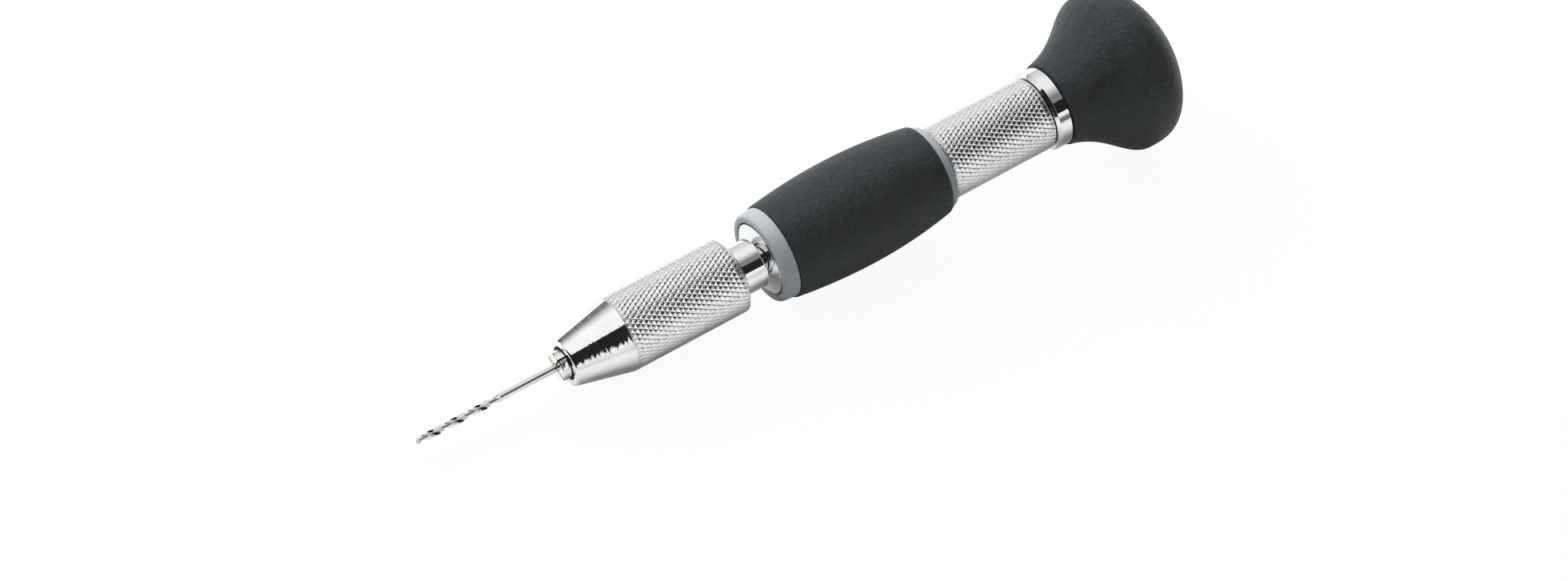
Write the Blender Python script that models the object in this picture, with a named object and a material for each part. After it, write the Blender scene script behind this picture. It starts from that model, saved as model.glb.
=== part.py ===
"""Pin vise: a small hand drill with a knurled chuck nut, a split collet, a soft grip and a palm knob.

Lengths are in metres. The pieces are turned about one line, the tool axis, and each piece has that
axis as its own Z. The empty tool_axis lays it along world X, with the drill towards -X. Stations along
the axis are counted from the flat nose of the chuck nut, and grow towards the palm knob.
"""

import math

import bmesh
import bpy
from mathutils import Matrix, Vector

MM = 0.001

# Clearances
RUN_GAP = 0.10 * MM  # between metal pieces that turn or slide on each other
SEAT_GAP = 0.25 * MM  # between pieces that are seated on each other
MOUTH_GAP = 0.40 * MM  # round the collet's nose, in the mouth of the nut
SHOULDER_GAP = 0.50 * MM  # behind the shoulders inside the nut

# Facets of the round pieces, and of the slender ones
ROUND_SIDES = 40
SLENDER_SIDES = 24
ARC_STEPS = 5
CURVE_STEPS = 9

# Twist drill
DRILL_DIAMETER = 1.0 * MM
DRILL_LENGTH = 34.0 * MM
DRILL_REACH = 19.7 * MM  # length ahead of the collet
DRILL_WEB = 0.36 * MM
DRILL_POINT_ANGLE = math.radians(118.0)
DRILL_END_CHAMFER = 0.10 * MM
FLUTE_LENGTH = 12.0 * MM
FLUTE_RUNOUT = 1.8 * MM
FLUTE_LEAD = 6.0 * MM
FLUTE_STEPS_PER_TURN = 18
DRILL_SIDES = 16

# Collet, the same at both ends
COLLET_NOSE_RADIUS = 1.95 * MM
COLLET_TAPER_DEPTH = 0.45 * MM
COLLET_NOSE_LENGTH = 1.7 * MM
COLLET_TAPER_LENGTH = 2.5 * MM
COLLET_BODY_LENGTH = 5.6 * MM
COLLET_PROJECTION = 1.2 * MM  # ahead of the nut's nose
COLLET_RELIEF = 0.60 * MM  # wider bore behind the gripping length
COLLET_GRIP_LENGTH = 6.0 * MM
COLLET_SLIT_WIDTH = 0.30 * MM
COLLET_BAND = 2.2 * MM  # uncut ring at mid-length
COLLET_CLOCK = math.radians(15.0)
COLLET_SLITS_PER_END = 2  # each runs right across, so there are twice as many jaws

# Chuck nut
NUT_WALL = 1.60 * MM  # round the plain bore at its tail
NUT_NOSE_WALL = 0.90 * MM
NUT_NOSE_ROUND = 0.35 * MM
NUT_CONE_LENGTH = 7.8 * MM
NUT_GRIP_LENGTH = 17.2 * MM
NUT_TAIL_BEVEL_DEPTH = 1.05 * MM
NUT_TAIL_BEVEL_LENGTH = 0.65 * MM
NUT_SKIRT = 3.0 * MM  # plain bore behind the thread

# Spindle, which carries the thread and seats the collet's rear taper
SPINDLE_WALL = 0.70 * MM  # thread outside the collet's body
SHAFT_STEP = 0.20 * MM  # plain shaft above the thread
SHAFT_SHOWING = 3.55 * MM  # between the nut and the flange
COLLET_TAPER_SHOWING = 0.9 * MM  # rear taper left ahead of the spindle's mouth
FLANGE_LAP = 0.30 * MM  # by which the flange holds the grip's core
FLANGE_CONE_LENGTH = 0.87 * MM
FLANGE_RIM = 0.80 * MM
TAIL_RADIUS = 3.40 * MM
TAIL_LENGTH = 13.0 * MM

# Barrel
BARREL_WALL = 0.55 * MM  # under the grip
BARREL_STEP = 0.73 * MM  # shoulder behind the grip
BARREL_SHOWING = 14.6 * MM

# Grip: a hard core whose two ends show as rings, and a soft sleeve between them
CORE_WALL = 0.70 * MM
RING_LIP = 0.60 * MM  # front ring, ahead of the flange's rim
RING_EDGE_ROUND = 0.50 * MM
FRONT_RING_WALL = 1.00 * MM  # round the flange
FRONT_RING_HEIGHT = 1.05 * MM  # above the core's waist
FRONT_RING_LENGTH = 2.27 * MM
REAR_RING_WALL = 1.00 * MM  # at its end, round the barrel
REAR_RING_HEIGHT = 0.85 * MM  # above the core's waist
REAR_RING_LENGTH = 1.50 * MM
SLEEVE_LENGTH = 23.4 * MM
SLEEVE_FRONT_WALL = 1.00 * MM
SLEEVE_REAR_WALL = 0.73 * MM
SLEEVE_CREST_WALL = 1.82 * MM
SLEEVE_CREST_AT = 11.4 * MM  # behind the sleeve's front edge

# Rear collar
COLLAR_STEP = 0.47 * MM  # above the barrel
COLLAR_BAND = 1.70 * MM
COLLAR_BEVEL_LENGTH = 0.70 * MM
COLLAR_BEVEL_DEPTH = 0.45 * MM
COLLAR_STUB_LENGTH = 8.0 * MM

# Swivel of the palm knob
SCREW_RADIUS = 1.50 * MM
SCREW_HEAD_RADIUS = 2.70 * MM
SCREW_HEAD_HEIGHT = 1.20 * MM
SCREW_SLOT_WIDTH = 0.60 * MM
SCREW_SLOT_DEPTH = 0.50 * MM
SCREW_HOLD = 8.0 * MM  # length held in the knob's core
WASHER_RADIUS = 3.60 * MM
WASHER_THICKNESS = 0.50 * MM

# Palm knob: a soft cover over a hard core
KNOB_LENGTH = 17.4 * MM
KNOB_NECK_WALL = 0.90 * MM
KNOB_CREST_RADIUS = 10.85 * MM
KNOB_CREST_AT = 9.6 * MM  # behind the knob's front face
KNOB_NECK_PULL = 5.4 * MM  # how far the waist reaches back before it flares
KNOB_NECK_RISE = 1.1 * MM
KNOB_CREST_PULL = 2.0 * MM  # how far the crest reaches forward
KNOB_RIM_PULL = 3.2 * MM  # how far the crest reaches back
KNOB_RIM_LENGTH = 5.1 * MM  # from the crest to the corner of the rounded rim
KNOB_END_RADIUS = 2.8 * MM
KNOB_STEM_WALL = 0.65 * MM  # round the washer
KNOB_HEAD_STEP = 2.90 * MM  # by which the core's head holds the cover
KNOB_HEAD_HEIGHT = 3.0 * MM
KNOB_CORE_END = 2.75 * MM  # behind the screw's end

SMOOTH_ANGLE = math.radians(30.0)
WELD_DISTANCE = 1e-7
CUTTER_MARGIN = 1.0 * MM

# Stations along the tool axis
COLLET_FRONT = -COLLET_PROJECTION
COLLET_LENGTH = 2.0 * (COLLET_NOSE_LENGTH + COLLET_TAPER_LENGTH) + COLLET_BODY_LENGTH
COLLET_REAR = COLLET_FRONT + COLLET_LENGTH
COLLET_REAR_TAPER = COLLET_REAR - COLLET_NOSE_LENGTH - COLLET_TAPER_LENGTH
DRILL_TIP = COLLET_FRONT - DRILL_REACH
NUT_TAIL = NUT_CONE_LENGTH + NUT_GRIP_LENGTH
SPINDLE_MOUTH = COLLET_REAR_TAPER + COLLET_TAPER_SHOWING
SHAFT_FRONT = NUT_TAIL - NUT_SKIRT
FLANGE_ROOT = NUT_TAIL + SHAFT_SHOWING
FLANGE_RIM_FRONT = FLANGE_ROOT + FLANGE_CONE_LENGTH
FLANGE_BACK = FLANGE_RIM_FRONT + FLANGE_RIM
RING_FRONT = FLANGE_RIM_FRONT - RING_LIP
SLEEVE_FRONT = RING_FRONT + FRONT_RING_LENGTH
SLEEVE_REAR = SLEEVE_FRONT + SLEEVE_LENGTH
GRIP_REAR = SLEEVE_REAR + REAR_RING_LENGTH
BARREL_FRONT = FLANGE_BACK + SEAT_GAP
BARREL_SHOULDER = GRIP_REAR + SEAT_GAP
BARREL_REAR = BARREL_SHOULDER + BARREL_SHOWING
COLLAR_FRONT = BARREL_REAR + SEAT_GAP
COLLAR_REAR = COLLAR_FRONT + COLLAR_BEVEL_LENGTH + COLLAR_BAND
KNOB_FRONT = COLLAR_REAR + SEAT_GAP
KNOB_SCREW_END = KNOB_FRONT + SCREW_HOLD
KNOB_HEAD_REAR = KNOB_SCREW_END + KNOB_CORE_END
KNOB_HEAD_FRONT = KNOB_HEAD_REAR - KNOB_HEAD_HEIGHT
KNOB_REAR = KNOB_FRONT + KNOB_LENGTH

# Radii of the chuck, from the drill outwards
DRILL_RADIUS = DRILL_DIAMETER / 2.0
COLLET_BORE = DRILL_RADIUS + RUN_GAP
TAIL_BORE = COLLET_BORE + COLLET_RELIEF
COLLET_BODY_RADIUS = COLLET_NOSE_RADIUS + COLLET_TAPER_DEPTH
NUT_MOUTH = COLLET_NOSE_RADIUS + MOUTH_GAP
NUT_NOSE_RADIUS = NUT_MOUTH + NUT_NOSE_WALL
THREAD_RADIUS = COLLET_BODY_RADIUS + SPINDLE_WALL
SHAFT_RADIUS = THREAD_RADIUS + SHAFT_STEP
NUT_RADIUS = SHAFT_RADIUS + RUN_GAP + NUT_WALL

# Radii of the handle, from the spindle's tail outwards
BARREL_BORE = TAIL_RADIUS + SEAT_GAP
BARREL_SEAT_RADIUS = BARREL_BORE + BARREL_WALL
BARREL_RADIUS = BARREL_SEAT_RADIUS + BARREL_STEP
COLLAR_RADIUS = BARREL_RADIUS + COLLAR_STEP
CORE_BORE = BARREL_SEAT_RADIUS + SEAT_GAP
CORE_WAIST = CORE_BORE + CORE_WALL
FLANGE_RADIUS = CORE_BORE + FLANGE_LAP
CORE_MOUTH = FLANGE_RADIUS + SEAT_GAP
FRONT_RING_NOSE_RADIUS = CORE_MOUTH + FRONT_RING_WALL
FRONT_RING_RADIUS = CORE_WAIST + FRONT_RING_HEIGHT
REAR_RING_RADIUS = CORE_WAIST + REAR_RING_HEIGHT
REAR_RING_END_RADIUS = CORE_BORE + REAR_RING_WALL
SLEEVE_BORE = CORE_WAIST + SEAT_GAP
SLEEVE_FRONT_RADIUS = SLEEVE_BORE + SLEEVE_FRONT_WALL
SLEEVE_REAR_RADIUS = SLEEVE_BORE + SLEEVE_REAR_WALL
SLEEVE_CREST_RADIUS = SLEEVE_BORE + SLEEVE_CREST_WALL

# Radii of the palm knob
KNOB_POCKET = WASHER_RADIUS + SEAT_GAP
KNOB_STEM_RADIUS = KNOB_POCKET + KNOB_STEM_WALL
KNOB_HEAD_RADIUS = KNOB_STEM_RADIUS + KNOB_HEAD_STEP
KNOB_NECK_RADIUS = KNOB_STEM_RADIUS + SEAT_GAP + KNOB_NECK_WALL

# The knob's lowest facet lies on the ground
AXIS_HEIGHT = KNOB_CREST_RADIUS * math.cos(math.pi / ROUND_SIDES)
MIDDLE = (DRILL_TIP + KNOB_REAR) / 2.0


def clear_scene():
    for item in list(bpy.data.objects):
        bpy.data.objects.remove(item, do_unlink=True)


def finish(name, colour, roughness, metallic):
    """A Principled material with one colour."""
    material = bpy.data.materials.new(name)
    material.use_nodes = True
    shader = material.node_tree.nodes["Principled BSDF"]
    shader.inputs["Base Color"].default_value = (*colour, 1.0)
    shader.inputs["Roughness"].default_value = roughness
    shader.inputs["Metallic"].default_value = metallic
    return material


def arc(centre, radius, start, end, steps=ARC_STEPS):
    """Points of an arc in the profile plane, with angles in degrees from outward towards the rear."""
    points = []
    for step in range(steps + 1):
        angle = math.radians(start + (end - start) * step / steps)
        points.append((centre[0] + radius * math.cos(angle), centre[1] + radius * math.sin(angle)))
    return points


def bezier(first, pull_first, pull_last, last, steps=CURVE_STEPS):
    """Points of a cubic curve in the profile plane."""
    points = []
    for step in range(steps + 1):
        t = step / steps
        weights = ((1 - t) ** 3, 3 * t * (1 - t) ** 2, 3 * t * t * (1 - t), t ** 3)
        corners = (first, pull_first, pull_last, last)
        points.append(tuple(sum(w * c[i] for w, c in zip(weights, corners)) for i in (0, 1)))
    return points


def rise(end, crest, steps=CURVE_STEPS):
    """An arc from one end of a crowned outline to its crest, where it is level."""
    run = crest[1] - end[1]
    drop = crest[0] - end[0]
    bend = (run * run + drop * drop) / (2.0 * drop)
    points = []
    for step in range(steps + 1):
        off = run * (step / steps - 1.0)
        height = math.copysign(math.sqrt(bend * bend - off * off), bend)
        points.append((crest[0] - bend + height, crest[1] + off))
    return points


def crowned(front, rear, crest):
    """Two arcs that meet at the crest, as (radius, station) points from front to rear."""
    return rise(front, crest) + rise(rear, crest)[-2::-1]


def add_object(name, bm, material, parent):
    """Turn a finished bmesh into a smooth-shaded object on the tool axis."""
    mesh = bpy.data.meshes.new(name)
    bmesh.ops.remove_doubles(bm, verts=bm.verts, dist=WELD_DISTANCE)
    bmesh.ops.recalc_face_normals(bm, faces=bm.faces)
    bm.to_mesh(mesh)
    bm.free()
    mesh.shade_smooth()
    mesh.set_sharp_from_angle(angle=SMOOTH_ANGLE)
    item = bpy.data.objects.new(name, mesh)
    item.parent = parent
    item.data.materials.append(material)
    bpy.context.scene.collection.objects.link(item)
    return item


def turned(name, profile, material, parent, sides=ROUND_SIDES):
    """Spin a profile of (radius, station) points, with a flat facet lowest."""
    bm = bmesh.new()
    clock = Matrix.Rotation(math.pi / sides, 3, "Z")
    verts = [bm.verts.new(clock @ Vector((radius, 0.0, station))) for radius, station in profile]
    edges = [bm.edges.new(pair) for pair in zip(verts, verts[1:])]
    if profile[0][0] > 0.0:
        edges.append(bm.edges.new((verts[-1], verts[0])))
    origin = (0.0, 0.0, 0.0)
    along = (0.0, 0.0, 1.0)
    whole = 2.0 * math.pi
    bmesh.ops.spin(bm, geom=verts + edges, cent=origin, axis=along, angle=whole, steps=sides, use_merge=True)
    return add_object(name, bm, material, parent)


def cut_box(target, name, size, centre, clock):
    """Cut a box, given by its size and centre, out of a piece. The box is turned about the axis."""
    mesh = bpy.data.meshes.new(name)
    bm = bmesh.new()
    bmesh.ops.create_cube(bm, size=1.0, matrix=Matrix.Diagonal((*size, 1.0)))
    bm.to_mesh(mesh)
    bm.free()
    cutter = bpy.data.objects.new(name, mesh)
    cutter.parent = target.parent
    cutter.location = (0.0, 0.0, centre)
    cutter.rotation_euler = (0.0, 0.0, clock)
    cutter.hide_render = True
    cutter.display_type = "WIRE"
    bpy.context.scene.collection.objects.link(cutter)
    modifier = target.modifiers.new(name, "BOOLEAN")
    modifier.operation = "DIFFERENCE"
    modifier.solver = "EXACT"
    modifier.object = cutter


def make_tool_axis():
    """The joint axis of every moving piece, along world X."""
    axis = bpy.data.objects.new("tool_axis", None)
    axis.location = (-MIDDLE, 0.0, AXIS_HEIGHT)
    axis.rotation_euler = (0.0, math.radians(90.0), 0.0)
    bpy.context.scene.collection.objects.link(axis)
    return axis


def drill_ring(bm, station, fluting, pointed=False):
    """One cross-section of the drill: two lands with flutes between them, which turn with the station."""
    turn = 2.0 * math.pi * (station - DRILL_TIP) / FLUTE_LEAD
    slope = math.tan(DRILL_POINT_ANGLE / 2.0)
    ring = []
    for side in range(DRILL_SIDES):
        angle = 2.0 * math.pi * side / DRILL_SIDES
        hollow = fluting * max(0.0, math.cos(2.0 * angle))
        radius = DRILL_RADIUS - hollow * (DRILL_RADIUS - DRILL_WEB / 2.0)
        height = DRILL_TIP + radius / slope if pointed else station
        ring.append(bm.verts.new((radius * math.cos(angle + turn), radius * math.sin(angle + turn), height)))
    return ring


def make_drill_bit(axis):
    material = finish("drill_steel", (0.56, 0.57, 0.59), 0.28, 1.0)
    point_length = DRILL_RADIUS / math.tan(DRILL_POINT_ANGLE / 2.0)
    steps = math.ceil(FLUTE_STEPS_PER_TURN * FLUTE_LENGTH / FLUTE_LEAD)
    bm = bmesh.new()
    rings = [drill_ring(bm, DRILL_TIP + point_length, 1.0, pointed=True)]
    for step in range(1, steps + 1):
        along = point_length + (FLUTE_LENGTH - point_length) * step / steps
        fluting = min(1.0, (FLUTE_LENGTH - along) / FLUTE_RUNOUT)
        rings.append(drill_ring(bm, DRILL_TIP + along, fluting))
    end = DRILL_TIP + DRILL_LENGTH
    rings.append(drill_ring(bm, end - DRILL_END_CHAMFER, 0.0))
    rings.append(drill_ring(bm, end, 0.0))
    middle = Vector((0.0, 0.0, end))
    for vert in rings[-1]:
        inward = (middle - vert.co).normalized()
        vert.co += inward * DRILL_END_CHAMFER
    tip = bm.verts.new((0.0, 0.0, DRILL_TIP))
    for side in range(DRILL_SIDES):
        after = (side + 1) % DRILL_SIDES
        bm.faces.new((tip, rings[0][after], rings[0][side]))
        for near, far in zip(rings, rings[1:]):
            bm.faces.new((near[side], near[after], far[after], far[side]))
    bm.faces.new(rings[-1])
    return add_object("drill_bit", bm, material, axis)


def make_collet(axis):
    material = finish("collet_steel", (0.72, 0.72, 0.71), 0.22, 1.0)
    relief_front = COLLET_FRONT + COLLET_GRIP_LENGTH
    profile = [
        (COLLET_BORE, COLLET_FRONT),
        (COLLET_NOSE_RADIUS, COLLET_FRONT),
        (COLLET_NOSE_RADIUS, COLLET_FRONT + COLLET_NOSE_LENGTH),
        (COLLET_BODY_RADIUS, COLLET_FRONT + COLLET_NOSE_LENGTH + COLLET_TAPER_LENGTH),
        (COLLET_BODY_RADIUS, COLLET_REAR_TAPER),
        (COLLET_NOSE_RADIUS, COLLET_REAR - COLLET_NOSE_LENGTH),
        (COLLET_NOSE_RADIUS, COLLET_REAR),
        (TAIL_BORE, COLLET_REAR),
        (TAIL_BORE, relief_front),
        (COLLET_BORE, relief_front),
    ]
    collet = turned("collet", profile, material, axis)
    depth = (COLLET_LENGTH - COLLET_BAND) / 2.0
    width = 2.0 * (COLLET_BODY_RADIUS + CUTTER_MARGIN)
    size = (width, COLLET_SLIT_WIDTH, depth + CUTTER_MARGIN)
    step = math.pi / COLLET_SLITS_PER_END
    for slit in range(COLLET_SLITS_PER_END):
        front_clock = COLLET_CLOCK + slit * step
        rear_clock = front_clock + step / 2.0
        cut_box(collet, f"front_slit_{slit}", size, COLLET_FRONT + (depth - CUTTER_MARGIN) / 2.0, front_clock)
        cut_box(collet, f"rear_slit_{slit}", size, COLLET_REAR - (depth - CUTTER_MARGIN) / 2.0, rear_clock)
    return collet


def make_chuck_nut(axis):
    material = finish("nut_chrome", (0.80, 0.81, 0.82), 0.12, 1.0)
    seat_front = COLLET_FRONT + COLLET_NOSE_LENGTH
    seat_rear = seat_front + COLLET_TAPER_LENGTH
    shoulder = SPINDLE_MOUTH - SHOULDER_GAP
    skirt = SHAFT_FRONT - SHOULDER_GAP
    round_centre = (NUT_NOSE_RADIUS - NUT_NOSE_ROUND, NUT_NOSE_ROUND)
    profile = [(NUT_MOUTH, 0.0)]
    profile += arc(round_centre, NUT_NOSE_ROUND, -90.0, 0.0)
    profile += [
        (NUT_RADIUS, NUT_CONE_LENGTH),
        (NUT_RADIUS, NUT_TAIL - NUT_TAIL_BEVEL_LENGTH),
        (NUT_RADIUS - NUT_TAIL_BEVEL_DEPTH, NUT_TAIL),
        (SHAFT_RADIUS + RUN_GAP, NUT_TAIL),
        (SHAFT_RADIUS + RUN_GAP, skirt),
        (THREAD_RADIUS + RUN_GAP, skirt),
        (THREAD_RADIUS + RUN_GAP, shoulder),
        (COLLET_BODY_RADIUS + RUN_GAP, shoulder),
        (COLLET_BODY_RADIUS + RUN_GAP, seat_rear),
        (COLLET_NOSE_RADIUS + RUN_GAP, seat_front),
    ]
    return turned("chuck_nut", profile, material, axis)


def make_spindle(axis):
    material = finish("spindle_chrome", (0.78, 0.79, 0.80), 0.14, 1.0)
    seat_slope = (COLLET_BODY_RADIUS - COLLET_NOSE_RADIUS) / COLLET_TAPER_LENGTH
    mouth = COLLET_BODY_RADIUS - COLLET_TAPER_SHOWING * seat_slope + RUN_GAP
    seat = COLLET_NOSE_RADIUS + RUN_GAP
    seat_rear = COLLET_REAR - COLLET_NOSE_LENGTH
    pocket = COLLET_REAR + SEAT_GAP
    tail_end = FLANGE_BACK + TAIL_LENGTH
    profile = [
        (mouth, SPINDLE_MOUTH),
        (THREAD_RADIUS, SPINDLE_MOUTH),
        (THREAD_RADIUS, SHAFT_FRONT),
        (SHAFT_RADIUS, SHAFT_FRONT),
        (SHAFT_RADIUS, FLANGE_ROOT),
        (FLANGE_RADIUS, FLANGE_RIM_FRONT),
        (FLANGE_RADIUS, FLANGE_BACK),
        (TAIL_RADIUS, FLANGE_BACK),
        (TAIL_RADIUS, tail_end),
        (TAIL_BORE, tail_end),
        (TAIL_BORE, pocket),
        (seat, pocket),
        (seat, seat_rear),
    ]
    return turned("spindle", profile, material, axis)


def make_grip_core(axis):
    material = finish("core_grey", (0.48, 0.50, 0.52), 0.45, 0.0)
    outer = (FRONT_RING_NOSE_RADIUS - RING_EDGE_ROUND, RING_FRONT + RING_EDGE_ROUND)
    inner_round = min(RING_EDGE_ROUND, outer[0] - CORE_MOUTH)
    inner = (CORE_MOUTH + inner_round, RING_FRONT + inner_round)
    rear_round = min(RING_EDGE_ROUND, REAR_RING_END_RADIUS - CORE_BORE)
    rear = (REAR_RING_END_RADIUS - rear_round, GRIP_REAR - rear_round)
    profile = arc(inner, inner_round, -180.0, -90.0)
    profile += arc(outer, RING_EDGE_ROUND, -90.0, 0.0)
    profile += [
        (FRONT_RING_RADIUS, SLEEVE_FRONT),
        (CORE_WAIST, SLEEVE_FRONT),
        (CORE_WAIST, SLEEVE_REAR),
        (REAR_RING_RADIUS, SLEEVE_REAR),
    ]
    profile += arc(rear, rear_round, 0.0, 90.0)
    profile += [
        (CORE_BORE, GRIP_REAR),
        (CORE_BORE, FLANGE_BACK + SEAT_GAP),
        (CORE_MOUTH, FLANGE_BACK + SEAT_GAP),
    ]
    return turned("grip_core", profile, material, axis)


def make_grip_sleeve(axis):
    material = finish("sleeve_rubber", (0.030, 0.031, 0.033), 0.62, 0.0)
    front = SLEEVE_FRONT + SEAT_GAP
    rear = SLEEVE_REAR - SEAT_GAP
    crest = (SLEEVE_CREST_RADIUS, SLEEVE_FRONT + SLEEVE_CREST_AT)
    profile = crowned((SLEEVE_FRONT_RADIUS, front), (SLEEVE_REAR_RADIUS, rear), crest)
    profile += [(SLEEVE_BORE, rear), (SLEEVE_BORE, front)]
    return turned("grip_sleeve", profile, material, axis)


def make_barrel(axis):
    material = finish("barrel_chrome", (0.74, 0.75, 0.76), 0.18, 1.0)
    profile = [
        (BARREL_BORE, BARREL_FRONT),
        (BARREL_SEAT_RADIUS, BARREL_FRONT),
        (BARREL_SEAT_RADIUS, BARREL_SHOULDER),
        (BARREL_RADIUS, BARREL_SHOULDER),
        (BARREL_RADIUS, BARREL_REAR),
        (BARREL_BORE, BARREL_REAR),
    ]
    return turned("barrel", profile, material, axis)


def make_rear_collar(axis):
    material = finish("collar_chrome", (0.82, 0.83, 0.84), 0.08, 1.0)
    bore = SCREW_RADIUS + RUN_GAP
    stub = BARREL_BORE - SEAT_GAP
    stub_front = COLLAR_FRONT - COLLAR_STUB_LENGTH
    profile = [
        (bore, stub_front),
        (stub, stub_front),
        (stub, COLLAR_FRONT),
        (COLLAR_RADIUS - COLLAR_BEVEL_DEPTH, COLLAR_FRONT),
        (COLLAR_RADIUS, COLLAR_FRONT + COLLAR_BEVEL_LENGTH),
        (COLLAR_RADIUS, COLLAR_REAR),
        (bore, COLLAR_REAR),
    ]
    return turned("rear_collar", profile, material, axis)


def make_thrust_washer(axis):
    material = finish("washer_nylon", (0.70, 0.69, 0.64), 0.40, 0.0)
    front = COLLAR_REAR + RUN_GAP
    rear = front + WASHER_THICKNESS
    bore = SCREW_RADIUS + RUN_GAP
    profile = [(bore, front), (WASHER_RADIUS, front), (WASHER_RADIUS, rear), (bore, rear)]
    return turned("thrust_washer", profile, material, axis)


def make_swivel_screw(axis):
    material = finish("screw_zinc", (0.62, 0.63, 0.64), 0.30, 1.0)
    head_back = COLLAR_FRONT - COLLAR_STUB_LENGTH - SEAT_GAP
    head_front = head_back - SCREW_HEAD_HEIGHT
    profile = [
        (0.0, head_front),
        (SCREW_HEAD_RADIUS, head_front),
        (SCREW_HEAD_RADIUS, head_back),
        (SCREW_RADIUS, head_back),
        (SCREW_RADIUS, KNOB_SCREW_END),
        (0.0, KNOB_SCREW_END),
    ]
    screw = turned("swivel_screw", profile, material, axis, SLENDER_SIDES)
    size = (2.0 * (SCREW_HEAD_RADIUS + CUTTER_MARGIN), SCREW_SLOT_WIDTH, SCREW_SLOT_DEPTH + CUTTER_MARGIN)
    cut_box(screw, "screw_slot", size, head_front + (SCREW_SLOT_DEPTH - CUTTER_MARGIN) / 2.0, COLLET_CLOCK)
    return screw


def make_knob_core(axis):
    material = finish("knob_core_plastic", (0.10, 0.10, 0.11), 0.50, 0.0)
    bore = SCREW_RADIUS + RUN_GAP
    bore_end = KNOB_SCREW_END + SEAT_GAP
    pocket_end = COLLAR_REAR + RUN_GAP + WASHER_THICKNESS + RUN_GAP
    profile = [
        (0.0, bore_end),
        (bore, bore_end),
        (bore, pocket_end),
        (KNOB_POCKET, pocket_end),
        (KNOB_POCKET, KNOB_FRONT),
        (KNOB_STEM_RADIUS, KNOB_FRONT),
        (KNOB_STEM_RADIUS, KNOB_HEAD_FRONT),
        (KNOB_HEAD_RADIUS, KNOB_HEAD_FRONT),
        (KNOB_HEAD_RADIUS, KNOB_HEAD_REAR),
        (0.0, KNOB_HEAD_REAR),
    ]
    return turned("knob_core", profile, material, axis)


def make_knob_cover(axis):
    material = finish("knob_rubber", (0.028, 0.029, 0.031), 0.60, 0.0)
    stem = KNOB_STEM_RADIUS + SEAT_GAP
    head = KNOB_HEAD_RADIUS + SEAT_GAP
    head_front = KNOB_HEAD_FRONT - SEAT_GAP
    head_rear = KNOB_HEAD_REAR + SEAT_GAP
    crest = KNOB_FRONT + KNOB_CREST_AT
    neck_curve = bezier(
        (KNOB_NECK_RADIUS, KNOB_FRONT),
        (KNOB_NECK_RADIUS + KNOB_NECK_RISE, KNOB_FRONT + KNOB_NECK_PULL),
        (KNOB_CREST_RADIUS, crest - KNOB_CREST_PULL),
        (KNOB_CREST_RADIUS, crest),
    )
    rim_curve = bezier(
        (KNOB_CREST_RADIUS, crest),
        (KNOB_CREST_RADIUS, crest + KNOB_RIM_PULL),
        (KNOB_CREST_RADIUS, crest + KNOB_RIM_LENGTH),
        (KNOB_END_RADIUS, KNOB_REAR),
    )
    profile = [(0.0, head_rear), (head, head_rear), (head, head_front), (stem, head_front)]
    profile.append((stem, KNOB_FRONT))
    profile += neck_curve + rim_curve[1:]
    profile.append((0.0, KNOB_REAR))
    return turned("knob_cover", profile, material, axis)


def main():
    clear_scene()
    axis = make_tool_axis()
    make_drill_bit(axis)
    make_collet(axis)
    make_chuck_nut(axis)
    make_spindle(axis)
    make_grip_core(axis)
    make_grip_sleeve(axis)
    make_barrel(axis)
    make_rear_collar(axis)
    make_thrust_washer(axis)
    make_swivel_screw(axis)
    make_knob_core(axis)
    make_knob_cover(axis)


main()
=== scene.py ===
"""Pin vise: the finished pieces of a small hand drill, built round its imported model.

The tool axis lies along X, with the drill towards -X. Every piece but the drill is turned about it from
an outline, a list of (station, radius) points: a station is a place along X, and a radius is counted from
the tool axis.
"""

import math

import bpy
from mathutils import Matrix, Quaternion, Vector


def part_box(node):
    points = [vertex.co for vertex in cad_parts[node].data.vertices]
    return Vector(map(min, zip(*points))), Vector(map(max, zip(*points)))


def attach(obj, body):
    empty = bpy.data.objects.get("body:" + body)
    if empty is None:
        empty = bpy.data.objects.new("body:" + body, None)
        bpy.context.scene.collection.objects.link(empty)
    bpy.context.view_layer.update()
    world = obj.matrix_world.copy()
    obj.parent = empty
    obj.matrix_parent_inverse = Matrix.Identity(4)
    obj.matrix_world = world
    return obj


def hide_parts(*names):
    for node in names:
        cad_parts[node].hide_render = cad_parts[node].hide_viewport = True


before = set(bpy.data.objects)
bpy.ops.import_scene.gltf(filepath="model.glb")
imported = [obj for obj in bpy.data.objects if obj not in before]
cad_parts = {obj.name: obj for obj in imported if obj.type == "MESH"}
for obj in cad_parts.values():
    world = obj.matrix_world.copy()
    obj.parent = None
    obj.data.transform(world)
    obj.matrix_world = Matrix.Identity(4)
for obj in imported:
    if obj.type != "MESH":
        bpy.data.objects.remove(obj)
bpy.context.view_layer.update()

MM = 0.001

# Fineness of the turned pieces
CAD_SIDES = 40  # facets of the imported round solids
ROUND_SEGMENTS = 184
ARC_STEPS = 5
CURVE_STEPS = 28
SMOOTH_ANGLE = math.radians(32.0)
WELD = 0.0001 * MM
SHADE_STRIP = 0.02 * MM  # beside a rounding, so that the light on the wide face next to it isn't bent

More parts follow.
